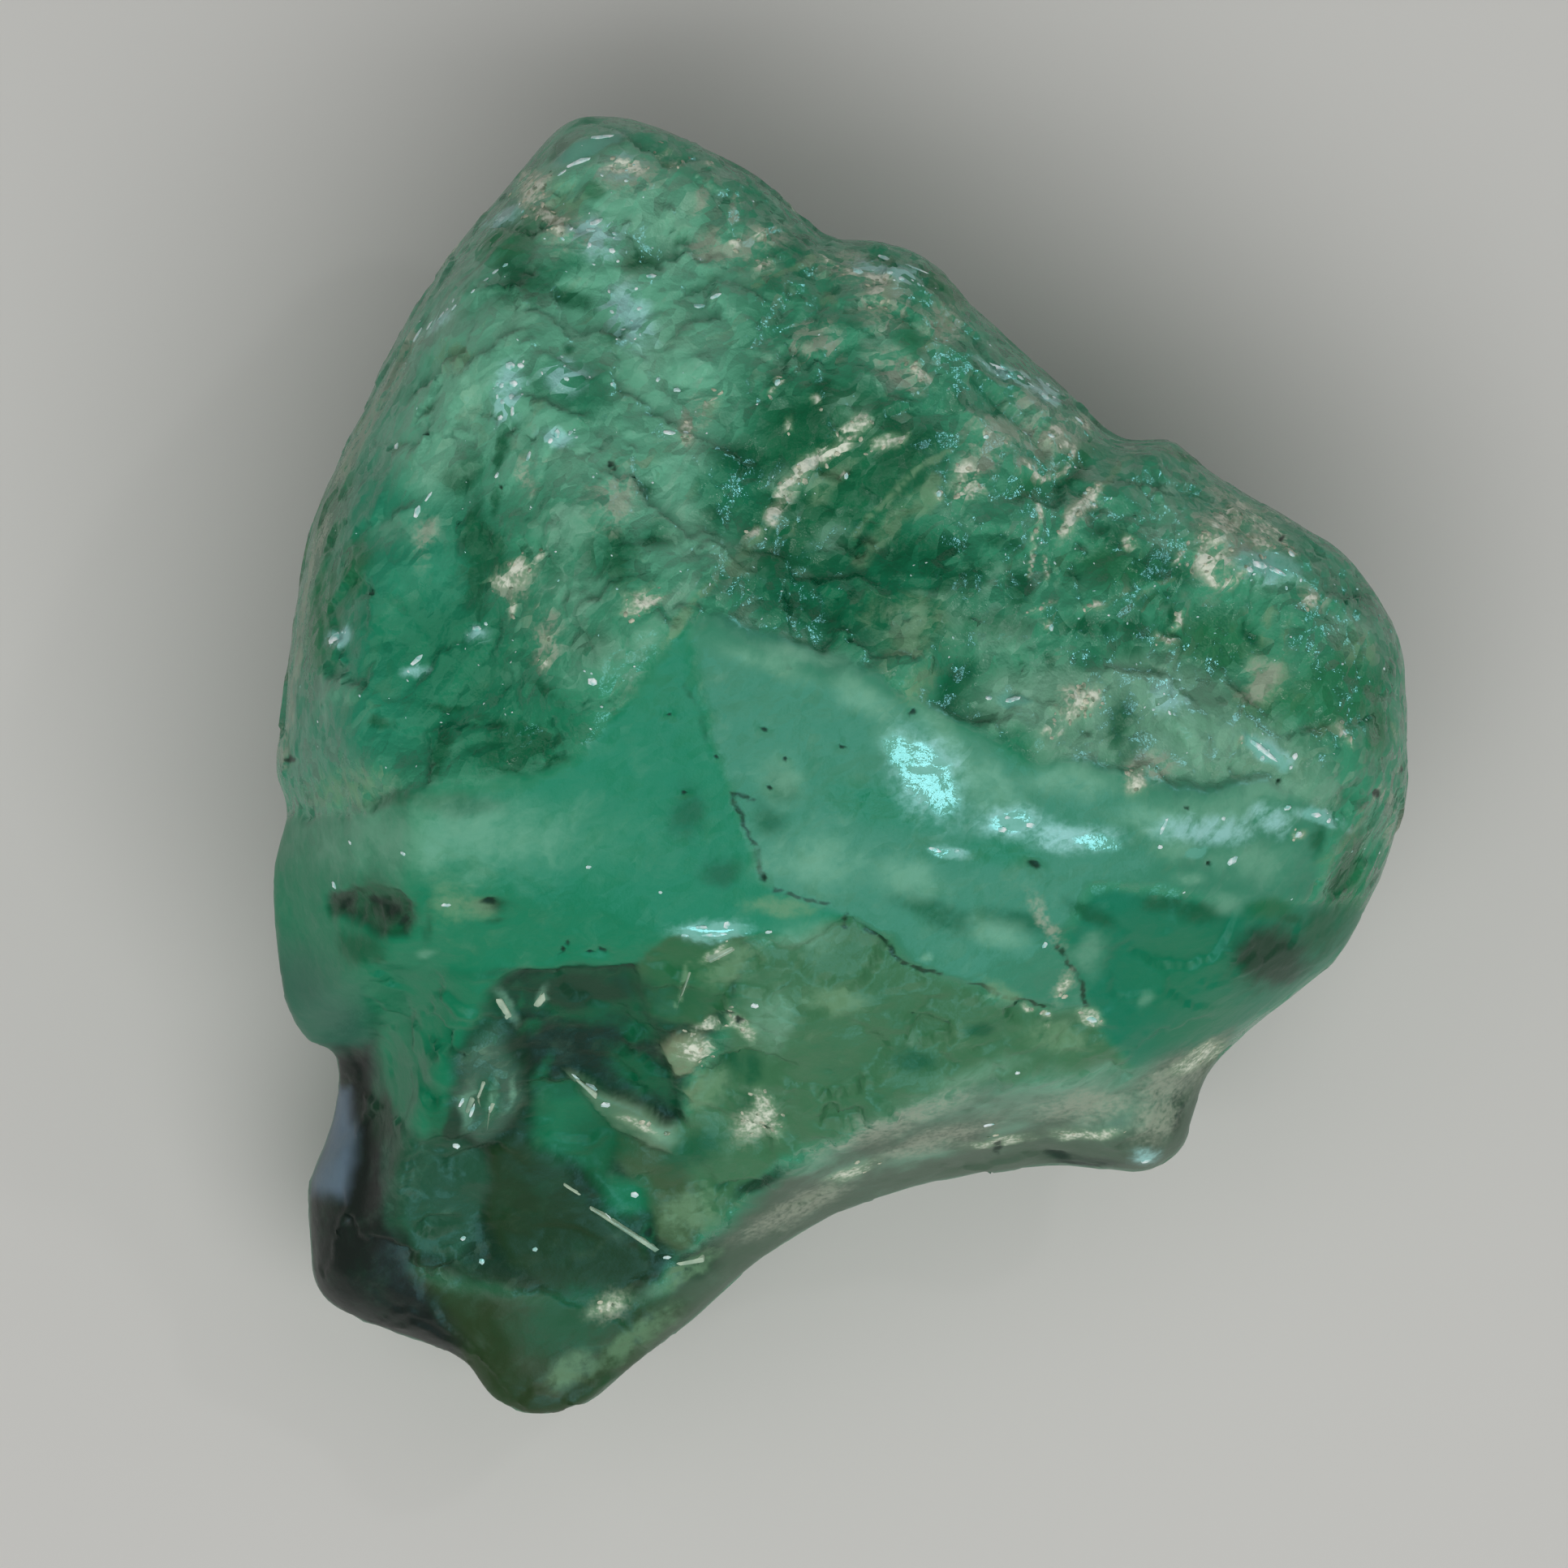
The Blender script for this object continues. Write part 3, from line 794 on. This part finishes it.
def mark_mask(marks, xy):
    """1 in the middle of a mark, 0.45 at its edge, and nearly 0 twice as far out."""
    nearest = np.full(len(xy), np.inf)
    for across, down, length, width, turn in marks["patches"]:
        cosine, sine = math.cos(math.radians(turn)), math.sin(math.radians(turn))
        away = xy - on_front((across, down))[0]
        along = (away[:, 0] * cosine + away[:, 1] * sine) / length
        beside = (away[:, 1] * cosine - away[:, 0] * sine) / width
        nearest = np.minimum(nearest, np.hypot(along, beside) * 2 / MM_PER_PIXEL)
    for width, *places in marks.get("strokes", ()):
        away = distance_to_line(on_front(places), xy)
        nearest = np.minimum(nearest, away * 2 / (width * MM_PER_PIXEL))
    return np.exp(-MARK_FADE * np.minimum(nearest, MARK_END) ** 2)


def arrays(mesh):
    """A mesh's points and their normals."""
    points, normals = np.empty((2, len(mesh.vertices) * 3), np.float32)
    mesh.vertices.foreach_get("co", points)
    mesh.vertex_normals.foreach_get("vector", normals)
    return points.reshape(-1, 3).astype(float), normals.reshape(-1, 3).astype(float)


def finished(obj):
    """The object's mesh with its modifiers applied; the object itself is removed."""
    graph = bpy.context.evaluated_depsgraph_get()
    mesh = bpy.data.meshes.new_from_object(obj.evaluated_get(graph))
    bpy.data.objects.remove(obj)
    return mesh


def shown(name, data):
    """A new object in the scene, of a mesh, a lamp or a camera."""
    obj = bpy.data.objects.new(name, data)
    bpy.context.scene.collection.objects.link(obj)
    return obj


def mesh_of(name, shape):
    """A new mesh from a shape that was being built, which is let go."""
    mesh = bpy.data.meshes.new(name)
    shape.to_mesh(mesh)
    shape.free()
    return mesh


def fine_stone():
    """The stone's mesh in millimetres, even and fine, with larger triangles on its back."""
    shape = bmesh.new()
    shape.from_mesh(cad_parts["emerald"].data)
    bmesh.ops.remove_doubles(shape, verts=shape.verts, dist=SAME_POINT)
    bmesh.ops.scale(shape, vec=Vector((1, 1, 1)) / METRES, verts=shape.verts)
    obj = shown("stone", mesh_of("stone", shape))
    remesh = obj.modifiers.new("even", "REMESH")
    remesh.mode = "VOXEL"
    remesh.voxel_size = FRONT_SPACING
    smooth = obj.modifiers.new("smooth", "SMOOTH")
    smooth.iterations = SMOOTHING_ROUNDS
    mesh = finished(obj)
    obj = shown("stone", mesh)
    _, normals = arrays(mesh)
    back = obj.vertex_groups.new(name="back")
    back.add(np.flatnonzero(normals[:, 2] < 0.0).tolist(), 1.0, "REPLACE")
    thin = obj.modifiers.new("thin", "DECIMATE")
    thin.ratio = TRIANGLES_KEPT
    thin.vertex_group = "back"
    return finished(obj)


def zone_values(xy, facing):
    """Each zone value at each point, blended across the zones' borders."""
    ground, *zones = ZONES.values()
    names = (*SKIN_VALUES, "chipped", "step")
    values = {name: np.full(len(xy), ground[name]) for name in names}
    tint = np.tile(colour(ground["tint"])[:3], (len(xy), 1))
    for zone in zones:
        share = smooth_step(-zone["edge"], zone["edge"], depth_inside(zone["outline"], xy)) * facing
        for name, field in values.items():
            field += (zone[name] - field) * share
        tint += (np.array(colour(zone["tint"])[:3]) - tint) * share[:, None]
    return tint, values


def chips(points):
    """Small flat faces at uneven angles, as broken crystal has: the lowest of the planes nearby."""
    rng = np.random.default_rng(RELIEF_SEED)
    low, high = points.min(axis=0), points.max(axis=0)
    count = int(np.prod((high - low) / CHIP_SPACING))
    centres = rng.uniform(low, high, (count, 3))
    slopes = rng.normal(0, CHIP_SLOPE, (count, 3))
    tree = kdtree.KDTree(count)
    for index, centre in enumerate(centres):
        tree.insert(centre, index)
    tree.balance()
    nearest = np.array([[hit[1] for hit in tree.find_n(p, CHIPS_COMPARED)] for p in points])
    away = points[:, None, :] - centres[nearest]
    heights = (away * slopes[nearest]).sum(axis=2).min(axis=1)
    return heights - heights.mean()


def stone_mesh():
    """The stone with its relief, and with its zones and marks as values on its points."""
    mesh = fine_stone()
    points, normals = arrays(mesh)
    facing = smooth_step(*FRONT_SLOPES, normals[:, 2])
    moved = wandering(points)[:, :2]
    tint, values = zone_values(moved, facing)
    masks = {name: mark_mask(marks, moved) * facing for name, marks in MARKS.items()}
    for seed, (name, (length, level)) in enumerate(UNSEEN_MARKS.items(), FIRST_UNSEEN_SEED):
        spread = np.clip(UNSEEN_SHARPNESS * (fractal(points, length, seed) - level), 0, 1)
        masks[name] = np.maximum(masks[name], spread * (1 - facing))
    values["rough"] *= 1 - masks["glaze"]
    height = values["chipped"] * chips(points)
    height += values["rough"] * GRAIN_HEIGHT * fractal(points, GRAIN_LENGTH, seed=2)
    swell = SWELL_HEIGHT * (SMOOTH_SWELL + (1 - SMOOTH_SWELL) * values["rough"])
    height += swell * fractal(points, SWELL_LENGTH, seed=3)
    height += values["step"]
    for name, rise in MARK_HEIGHTS.items():
        height += rise * masks[name]
    flatness = np.maximum(smooth_step(*RIM_SLOPES, np.abs(normals[:, 2])), RIM_RELIEF)
    above = smooth_step(0.0, FOOT_HEIGHT, points[:, 2])
    points += normals * (height * above * flatness)[:, None]
    points = np.clip(points, *(np.array(corner) / METRES for corner in CAD_BOX))
    mesh.vertices.foreach_set("co", points.astype(np.float32).ravel())
    paint = mesh.color_attributes.new("tint", "FLOAT_COLOR", "POINT")
    paint.data.foreach_set("color", np.column_stack([tint, np.ones(len(tint))]).ravel())
    fields = {**masks, **{name: values[name] for name in SKIN_VALUES}}
    fields["broad"] = BROAD_AMOUNT * fractal(points, BROAD_SIZE, seed=31)
    for name, field in fields.items():
        mesh.attributes.new(name, "FLOAT", "POINT").data.foreach_set("value", field)
    swirl = [noise.turbulence_vector(Vector(p) / SWIRL_SIZE, SWIRL_OCTAVES, False) for p in points]
    swirl = np.ravel(swirl) * SWIRL_REACH
    mesh.attributes.new("swirl", "FLOAT_VECTOR", "POINT").data.foreach_set("vector", swirl)
    mesh.update()
    return mesh


def add_node(tree, kind, inputs=(), output=0, **settings):
    """Adds a node. Its inputs are values or sockets, by place or by name; one output is returned."""
    node = tree.nodes.new(kind)
    for name, value in settings.items():
        setattr(node, name, value)
    for place, value in inputs.items() if isinstance(inputs, dict) else enumerate(inputs):
        if isinstance(value, bpy.types.NodeSocket):
            tree.links.new(value, node.inputs[place])
        else:
            node.inputs[place].default_value = value
    return node.outputs[output] if node.outputs else node


def chips_on_points():
    """Geometry nodes: an uneven chip on each point, sized and turned by the point's own values."""
    tree = bpy.data.node_groups.new("chips_on_points", "GeometryNodeTree")
    for name, kind, way in (
        ("Points", "Geometry", "INPUT"), ("Unevenness", "Float", "INPUT"), ("Seed", "Float", "INPUT"),
        ("Material", "Material", "INPUT"), ("Chips", "Geometry", "OUTPUT"),
    ):
        tree.interface.new_socket(name, in_out=way, socket_type="NodeSocket" + kind)
    add = functools.partial(add_node, tree)
    wanted = ("Points", "Unevenness", "Seed", "Material")
    given = {name: add("NodeGroupInput", output=name) for name in wanted}
    chip = add("GeometryNodeMeshIcoSphere", {"Radius": 0.5, "Subdivisions": 1})
    turn = add("GeometryNodeInputNamedAttribute", {"Name": "turn"}, data_type="FLOAT_VECTOR")
    size = add("GeometryNodeInputNamedAttribute", {"Name": "size"}, data_type="FLOAT_VECTOR")
    links = {"Points": given["Points"], "Instance": chip, "Rotation": turn, "Scale": size}
    placed = add("GeometryNodeRealizeInstances", (add("GeometryNodeInstanceOnPoints", links),))
    place = add("GeometryNodeInputPosition")
    links = {"Vector": place, "W": given["Seed"], "Scale": CHIP_SWELLS, "Detail": 1}
    uneven = add("ShaderNodeTexNoise", links, "Color", noise_dimensions="4D")
    uneven = add("ShaderNodeVectorMath", (uneven, (NOISE_MIDDLE,) * 3), operation="SUBTRACT")
    uneven = add("ShaderNodeVectorMath", {0: uneven, "Scale": given["Unevenness"]}, operation="SCALE")
    placed = add("GeometryNodeSetPosition", {"Geometry": placed, "Offset": uneven})
    placed = add("GeometryNodeSetMaterial", {"Geometry": placed, "Material": given["Material"]})
    add("NodeGroupOutput", {"Chips": placed})
    return tree


def grown(name, mesh, tree, **inputs):
    """What a tree of geometry nodes makes of a mesh."""
    obj = shown(name, mesh)
    modifier = obj.modifiers.new("grown", "NODES")
    modifier.node_group = tree
    for socket in tree.interface.items_tree:
        if socket.name in inputs:
            modifier[socket.identifier] = inputs[socket.name]
    return finished(obj)


def spot_on(surface, across, down):
    """Where a place on the front is on the stone, and the skin's direction there."""
    (spot,) = on_front((across, down))
    place, normal, _, _ = surface.ray_cast(Vector((*spot, ABOVE_STONE)), Vector((0, 0, -1)))
    return place, normal


def lying(normal, turn, lean):
    """The turn of a thing that lies on the skin, spun by one angle and leaned over by another."""
    along = Vector((math.cos(math.radians(turn)), math.sin(math.radians(turn)), 0))
    along = (along - normal * along.dot(normal)).normalized()
    upright = Matrix((along, normal.cross(along), normal)).transposed()
    return upright @ Matrix.Rotation(math.radians(lean), 3, "X")


def strewn(marks, rng, spacing, sizes):
    """Grains strewn over patches and strokes, written as patches are."""
    patches = list(marks["patches"])
    for width, *places in marks.get("strokes", ()):
        for (x0, y0), (x1, y1) in zip(places[:-1], places[1:]):
            turn = math.degrees(math.atan2(y0 - y1, x1 - x0))
            patches.append(((x0 + x1) / 2, (y0 + y1) / 2, math.hypot(x1 - x0, y1 - y0), width, turn))
    grains = []
    for across, down, length, width, turn in patches:
        cosine, sine = math.cos(math.radians(turn)), math.sin(math.radians(turn))
        for _ in range(1 + int(length * width / spacing**2)):
            away, angle = STREWN_REACH * math.sqrt(rng.uniform()), rng.uniform(0, 2 * math.pi)
            along, beside = away * length * math.cos(angle), away * width * math.sin(angle)
            size = rng.uniform(*sizes)
            place = across + along * cosine + beside * sine, down - along * sine + beside * cosine
            grains.append((*place, size, size * rng.uniform(*STREWN_WIDTHS), rng.uniform(0, 180)))
    return grains


def on_rough(chips):
    """The chips that lie where the front is rough."""
    xy = on_front([chip[:2] for chip in chips])
    _, values = zone_values(xy, np.ones(len(xy)))
    return [chip for chip, rough in zip(chips, values["rough"]) if rough > FROST_ROUGHNESS]


def glitter(rng, count, sizes):
    """Tiny chips in loose clusters all over the upper face."""
    places = rng.uniform(*GLITTER_CORNERS, (count, 2))
    xy = on_front(places)
    clusters = fractal(np.column_stack([xy, np.zeros(len(xy))]), GLITTER_CLUSTER, seed=21)
    return [
        (*place, size, size * rng.uniform(*GLITTER_WIDTHS), rng.uniform(0, 180))
        for place, size in zip(places[clusters > GLITTER_LEVEL], rng.uniform(*sizes, count))
    ]


def chip_piece(name, chips, surface, tree, material, thickness, seed):
    """Chips half sunk in the skin at their places, each leaning a little its own way."""
    rng = np.random.default_rng(seed)
    places, turns, sizes = [], [], []
    for across, down, length, width, turn in chips:
        place, normal = spot_on(surface, across, down)
        if place is None or normal.z < LEAST_UPWARDS:
            continue
        places.append(place)
        turns.append(lying(normal, turn, rng.uniform(-CHIP_LEAN, CHIP_LEAN)).to_euler())
        sizes.append(np.array((length, width, thickness * width)) * MM_PER_PIXEL)
    mesh = bpy.data.meshes.new(name)
    mesh.from_pydata(places, [], [])
    for field, values in {"turn": turns, "size": sizes}.items():
        mesh.attributes.new(field, "FLOAT_VECTOR", "POINT").data.foreach_set("vector", np.ravel(values))
    mesh = grown(name, mesh, tree, Unevenness=CHIP_UNEVENNESS, Seed=float(seed), Material=material)
    return piece(name, mesh)


def splinter_piece(name, splinters, surface, material, seed):
    """Broken splinters of crystal, sunk into the skin: each is the hull of a few points."""
    rng = np.random.default_rng(seed)
    shape = bmesh.new()
    for across, down, length, width, turn, lean, thickness, rise, near_end in splinters:
        place, normal = spot_on(surface, across, down)
        spin = lying(normal, turn, lean)
        half = np.array((length, width, thickness / MM_PER_PIXEL)) * MM_PER_PIXEL / 2
        corners = np.array([(i, j, k) for i in (-1, 1) for j in (-1, 1) for k in (-1, 1)], float)
        corners *= rng.uniform(*CORNERS_DRAWN_IN, corners.shape)
        more = rng.uniform(-POINTS_REACH, POINTS_REACH, (POINTS_MORE, 3))
        points = np.vstack([corners, more])
        points[:, 1] *= np.where(points[:, 0] < 0, near_end, 1)
        points *= half
        verts = [shape.verts.new(place + normal * rise + spin @ Vector(p)) for p in points]
        hull = bmesh.ops.convex_hull(shape, input=verts)
        loose = hull["geom_interior"] + hull["geom_unused"]
        loose = [v for v in dict.fromkeys(loose) if isinstance(v, bmesh.types.BMVert)]
        bmesh.ops.delete(shape, geom=loose, context="VERTS")
    bmesh.ops.bevel(shape, geom=shape.edges[:], offset=SPLINTER_BEVEL, segments=1, affect="EDGES")
    bmesh.ops.recalc_face_normals(shape, faces=shape.faces)
    return piece(name, mesh_of(name, shape), material)


def piece(name, mesh, material=None, smooth=False):
    """A finished piece: its mesh in metres, in its place, riding on the stone's body."""
    if material:
        mesh.materials.clear()
        mesh.materials.append(material)
    if smooth:
        mesh.shade_smooth()
    else:
        mesh.shade_flat()
    points, _ = arrays(mesh)
    mesh.vertices.foreach_set("co", (points * METRES).astype(np.float32).ravel())
    mesh.update()
    obj = shown(name, mesh)
    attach(obj, "root")
    return obj


def new_material(name):
    """A new material, with its nodes and its surface shader."""
    material = bpy.data.materials.new(name)
    material.use_nodes = True
    return material, material.node_tree, material.node_tree.nodes["Principled BSDF"]


def cloudy_beryl():
    """Beryl full of fine cracks: a milky green body, clear in places, under a glassy skin."""
    material, tree, surface = new_material("cloudy_beryl")
    add = functools.partial(add_node, tree)

    place = add("ShaderNodeTexCoord", output="Object")
    in_mm = add("ShaderNodeMapping", {"Vector": place, "Scale": (1 / METRES,) * 3})
    swirl = add("ShaderNodeAttribute", output="Vector", attribute_name="swirl")
    swirled = add("ShaderNodeVectorMath", (in_mm, swirl), operation="ADD")
    turn = (0, 0, math.radians(STREAK_TURN))
    links = {"Vector": swirled, "Rotation": turn, "Scale": STREAK_STRETCH}
    combed = add("ShaderNodeMapping", links, vector_type="TEXTURE")
    spaces = {"plain": in_mm, "swirled": swirled, "combed": combed}
    pattern = {}
    for seed, (name, (size, detail, roughness, space)) in enumerate(PATTERNS.items()):
        aside = add("ShaderNodeVectorMath", (spaces[space], (seed * MOVED_ASIDE,) * 3), operation="ADD")
        links = {"Vector": aside, "Scale": 1 / size, "Detail": detail, "Roughness": roughness}
        value = add("ShaderNodeTexNoise", links)
        pattern[name] = add("ShaderNodeMath", (value, NOISE_MIDDLE), operation="SUBTRACT")

    field = {
        name: add("ShaderNodeAttribute", output="Fac", attribute_name=name)
        for name in (*MARKS, *SKIN_VALUES)
    }
    pattern["broad"] = add("ShaderNodeAttribute", output="Fac", attribute_name="broad")
    facing = add("ShaderNodeNewGeometry", output="Normal")
    for name, (size, space, lean) in GRAINS.items():
        cell = add("ShaderNodeTexVoronoi", {"Vector": spaces[space], "Scale": 1 / size}, "Color")
        cell = add("ShaderNodeVectorMath", (cell, (NOISE_MIDDLE,) * 3), operation="SUBTRACT")
        cell = add("ShaderNodeVectorMath", {0: cell, "Scale": field["rough"]}, operation="SCALE")
        pattern[name] = add("ShaderNodeSeparateXYZ", (cell,))
        cell = add("ShaderNodeVectorMath", {0: cell, "Scale": lean}, operation="SCALE")
        facing = add("ShaderNodeVectorMath", (facing, cell), operation="ADD")
    facing = add("ShaderNodeVectorMath", (facing,), operation="NORMALIZE")
    tint = add("ShaderNodeAttribute", output="Color", attribute_name="tint")
    clear = add("ShaderNodeMath", (1.0, field["milk"]), operation="SUBTRACT")
    rough = add("ShaderNodeMapRange", (field["rough"], 0, 1, *ROUGHNESS_RANGE))

    for name, look in LAYERS.items():
        mark = look.get("mark", name)
        level = float(mark in MARKS)
        for kind, weight in look["noise"].items():
            level = add("ShaderNodeMath", (pattern[kind], weight, level), operation="MULTIPLY_ADD")
        if mark in MARKS:
            level = add("ShaderNodeMath", (level, field[mark]), operation="MULTIPLY")
        share = add(
            "ShaderNodeMapRange", (level, *look["span"], 0, look["share"]), interpolation_type="SMOOTHSTEP"
        )
        if mark not in MARKS:
            share = add("ShaderNodeMath", (share, field["mottle"]), operation="MULTIPLY")
        layers = {MIX_SHARE: share, MIX_UNDER: tint, MIX_OVER: colour(look["tint"])}
        tint = add("ShaderNodeMix", layers, output=MIX_RESULT, data_type="RGBA")
        clear = add("ShaderNodeMath", (share, look["clear"], clear), operation="MULTIPLY_ADD")
        rough = add("ShaderNodeMath", (share, look["rough"], rough), operation="MULTIPLY_ADD")

    clear = add("ShaderNodeClamp", (clear, 0.0, CLEAREST))
    rough = add("ShaderNodeClamp", (rough, *SKIN_ROUGHNESS_LIMITS))
    strength = add("ShaderNodeMapRange", (field["rough"], 0, 1, *BUMP_RANGE))
    links = {"Height": pattern["crumb"], "Strength": strength, "Normal": facing}
    bump = add("ShaderNodeBump", {**links, "Distance": BUMP_DEPTH * METRES})
    links = {"Base Color": tint, "Transmission Weight": clear, "Roughness": rough, "Normal": bump}
    for name, socket in links.items():
        tree.links.new(socket, surface.inputs[name])
    surface.inputs["IOR"].default_value = BERYL_IOR
    surface.inputs["Specular IOR Level"].default_value = SKIN_SPECULAR
    body = add("ShaderNodeVolumeAbsorption", {"Color": BODY_COLOUR, "Density": BODY_DENSITY})
    tree.links.new(body, tree.nodes["Material Output"].inputs["Volume"])
    return material


def broken_crystal(name, dark, light, roughness, clear, grain):
    """Small broken pieces: their shade and their gloss change from grain to grain."""
    material, tree, surface = new_material(name)
    add = functools.partial(add_node, tree)
    place = add("ShaderNodeTexCoord", output="Object")
    value = add("ShaderNodeTexNoise", {"Vector": place, "Scale": 1 / (grain * METRES), "Detail": 3})
    shade = add("ShaderNodeMapRange", (value, *SHADE_SPAN))
    ends = {MIX_SHARE: shade, MIX_UNDER: colour(dark), MIX_OVER: colour(light)}
    gloss = (roughness - GLOSS_CHANGE, roughness + GLOSS_CHANGE)
    bump = {"Height": value, "Strength": BROKEN_BUMP, "Distance": BUMP_DEPTH * METRES}
    links = {
        "Base Color": add("ShaderNodeMix", ends, output=MIX_RESULT, data_type="RGBA"),
        "Roughness": add("ShaderNodeMapRange", (value, *GLOSS_SPAN, *gloss)),
        "Normal": add("ShaderNodeBump", bump),
    }
    for socket, value in links.items():
        tree.links.new(value, surface.inputs[socket])
    surface.inputs["IOR"].default_value = BERYL_IOR
    surface.inputs["Transmission Weight"].default_value = clear
    return material


def pale_card():
    """Uncoated card: pale, even and matt, so that it shows only the stone's soft shadow."""
    material, _, surface = new_material("pale_card")
    surface.inputs["Base Color"].default_value = colour("#D9D8D4")
    surface.inputs["Roughness"].default_value = 0.9
    return material


def stage_floor():
    """A wide pale floor that the stone rests on."""
    shape = bmesh.new()
    bmesh.ops.create_circle(shape, cap_ends=True, segments=FLOOR_SIDES, radius=FLOOR_RADIUS)
    mesh = mesh_of("floor", shape)
    mesh.materials.append(pale_card())
    floor = shown("floor", mesh)
    floor.location.z = -FLOOR_GAP


def aimed_light(name, heading, elevation, distance, size, power, target=STONE_MIDDLE, tone="#FFFFFF"):
    """An area light aimed at the stone, which is returned. Heading 0 is towards +X, 90 towards +Y."""
    turn, up = math.radians(heading), math.radians(elevation)
    way = Vector((math.cos(turn) * math.cos(up), math.sin(turn) * math.cos(up), math.sin(up)))
    light = bpy.data.lights.new(name, "AREA")
    light.shape = "RECTANGLE"
    light.size, light.size_y = size
    light.energy = power
    light.color = colour(tone)[:3]
    lamp = shown(name, light)
    lamp.location = way * distance + Vector(target)
    lamp.rotation_euler = way.to_track_quat("Z", "Y").to_euler()
    return lamp


def glint_light(name, surface, place, power):
    """A small light which the skin at a place on the front mirrors straight up to the camera."""
    across, down = place
    steps = (-GLINT_REACH, 0, GLINT_REACH)
    spots = [spot_on(surface, across + i, down + j) for i in steps for j in steps]
    normal = sum((n for _, n in spots), Vector()).normalized()
    way = 2 * normal.z * normal - Vector((0, 0, 1))
    heading = math.degrees(math.atan2(way.y, way.x))
    target = spots[len(spots) // 2][0] * METRES
    elevation = math.degrees(math.asin(way.z))
    size = (GLINT_SIZE, GLINT_SIZE)
    return aimed_light(name, heading, elevation, GLINT_DISTANCE, size, power, target, GLINT_TONE)


def stage_lights(surface):
    """The photograph's light: small hard lamps for the glints, and soft ones for the body."""
    for name, (place, power) in GLINTS.items():
        glint_light(name, surface, place, power).visible_diffuse = False
    for name, lamp in LAMPS.items():
        aimed_light(name, *lamp).visible_glossy = name != POLARISED
    world = bpy.data.worlds.new("studio")
    world.use_nodes = True
    world.node_tree.nodes["Background"].inputs["Color"].default_value = (*(ROOM_GREY,) * 3, 1)
    bpy.context.scene.world = world


def camera_above():
    """The photograph's view: straight down on the stone's front."""
    lens = bpy.data.cameras.new("camera")
    lens.sensor_width = SENSOR_WIDTH
    lens.lens = SENSOR_WIDTH * CAMERA_DISTANCE / (PICTURE_SIDE * MM_PER_PIXEL)
    lens.clip_start, lens.clip_end = CLIP_START, CLIP_END
    camera = shown("camera", lens)
    (middle,) = on_front((PICTURE_SIDE / 2, PICTURE_SIDE / 2)) * METRES
    camera.location = (*middle, (TRUE_SCALE_HEIGHT + CAMERA_DISTANCE) * METRES)
    bpy.context.scene.camera = camera


camera_above()
stage_floor()
# the stone, and its skin as a surface that the small pieces are put on
skin = stone_mesh()
surface = bvhtree.BVHTree.FromPolygons([v.co for v in skin.vertices], [p.vertices for p in skin.polygons])
stone = piece("rough_emerald", skin, cloudy_beryl(), smooth=True)
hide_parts("emerald")
stage_lights(surface)
rng = np.random.default_rng(STREWN_SEED)
tree = chips_on_points()
# cleaved slivers with air under them: pale cyan to white, with a hard bright gloss
silver = broken_crystal("silvery_fracture", "#8ED6CC", "#F4FFFF", roughness=0.20, clear=0.0, grain=0.10)
chip_piece("silvery_chips", SILVERY_CHIPS, surface, tree, silver, thickness=0.5, seed=1)
frost = strewn(MARKS["ice"], rng, spacing=22, sizes=(3, 8)) + glitter(rng, count=900, sizes=(2, 5))
chip_piece("frost_chips", on_rough(frost), surface, tree, silver, thickness=0.5, seed=2)
# crumbly crust stained by iron: cream to grey-green, with a dull sheen
crust = broken_crystal("iron_stained_crust", "#6F8C72", "#D4D6BE", roughness=0.40, clear=0.0, grain=0.10)
crumbs = strewn(MARKS["cream"], rng, spacing=16, sizes=(4, 10))
chip_piece("cream_crust", crumbs, surface, tree, crust, thickness=0.4, seed=3)
# thin splinters with haze in them: pale green, glossy and a little clear
pale = broken_crystal("hazy_beryl_splinter", "#7FA890", "#C4DAC0", roughness=0.28, clear=0.10, grain=0.30)
splinter_piece("pale_splinters", SPLINTERS, surface, pale, seed=6)
bpy.context.scene.view_settings.view_transform = "Standard"
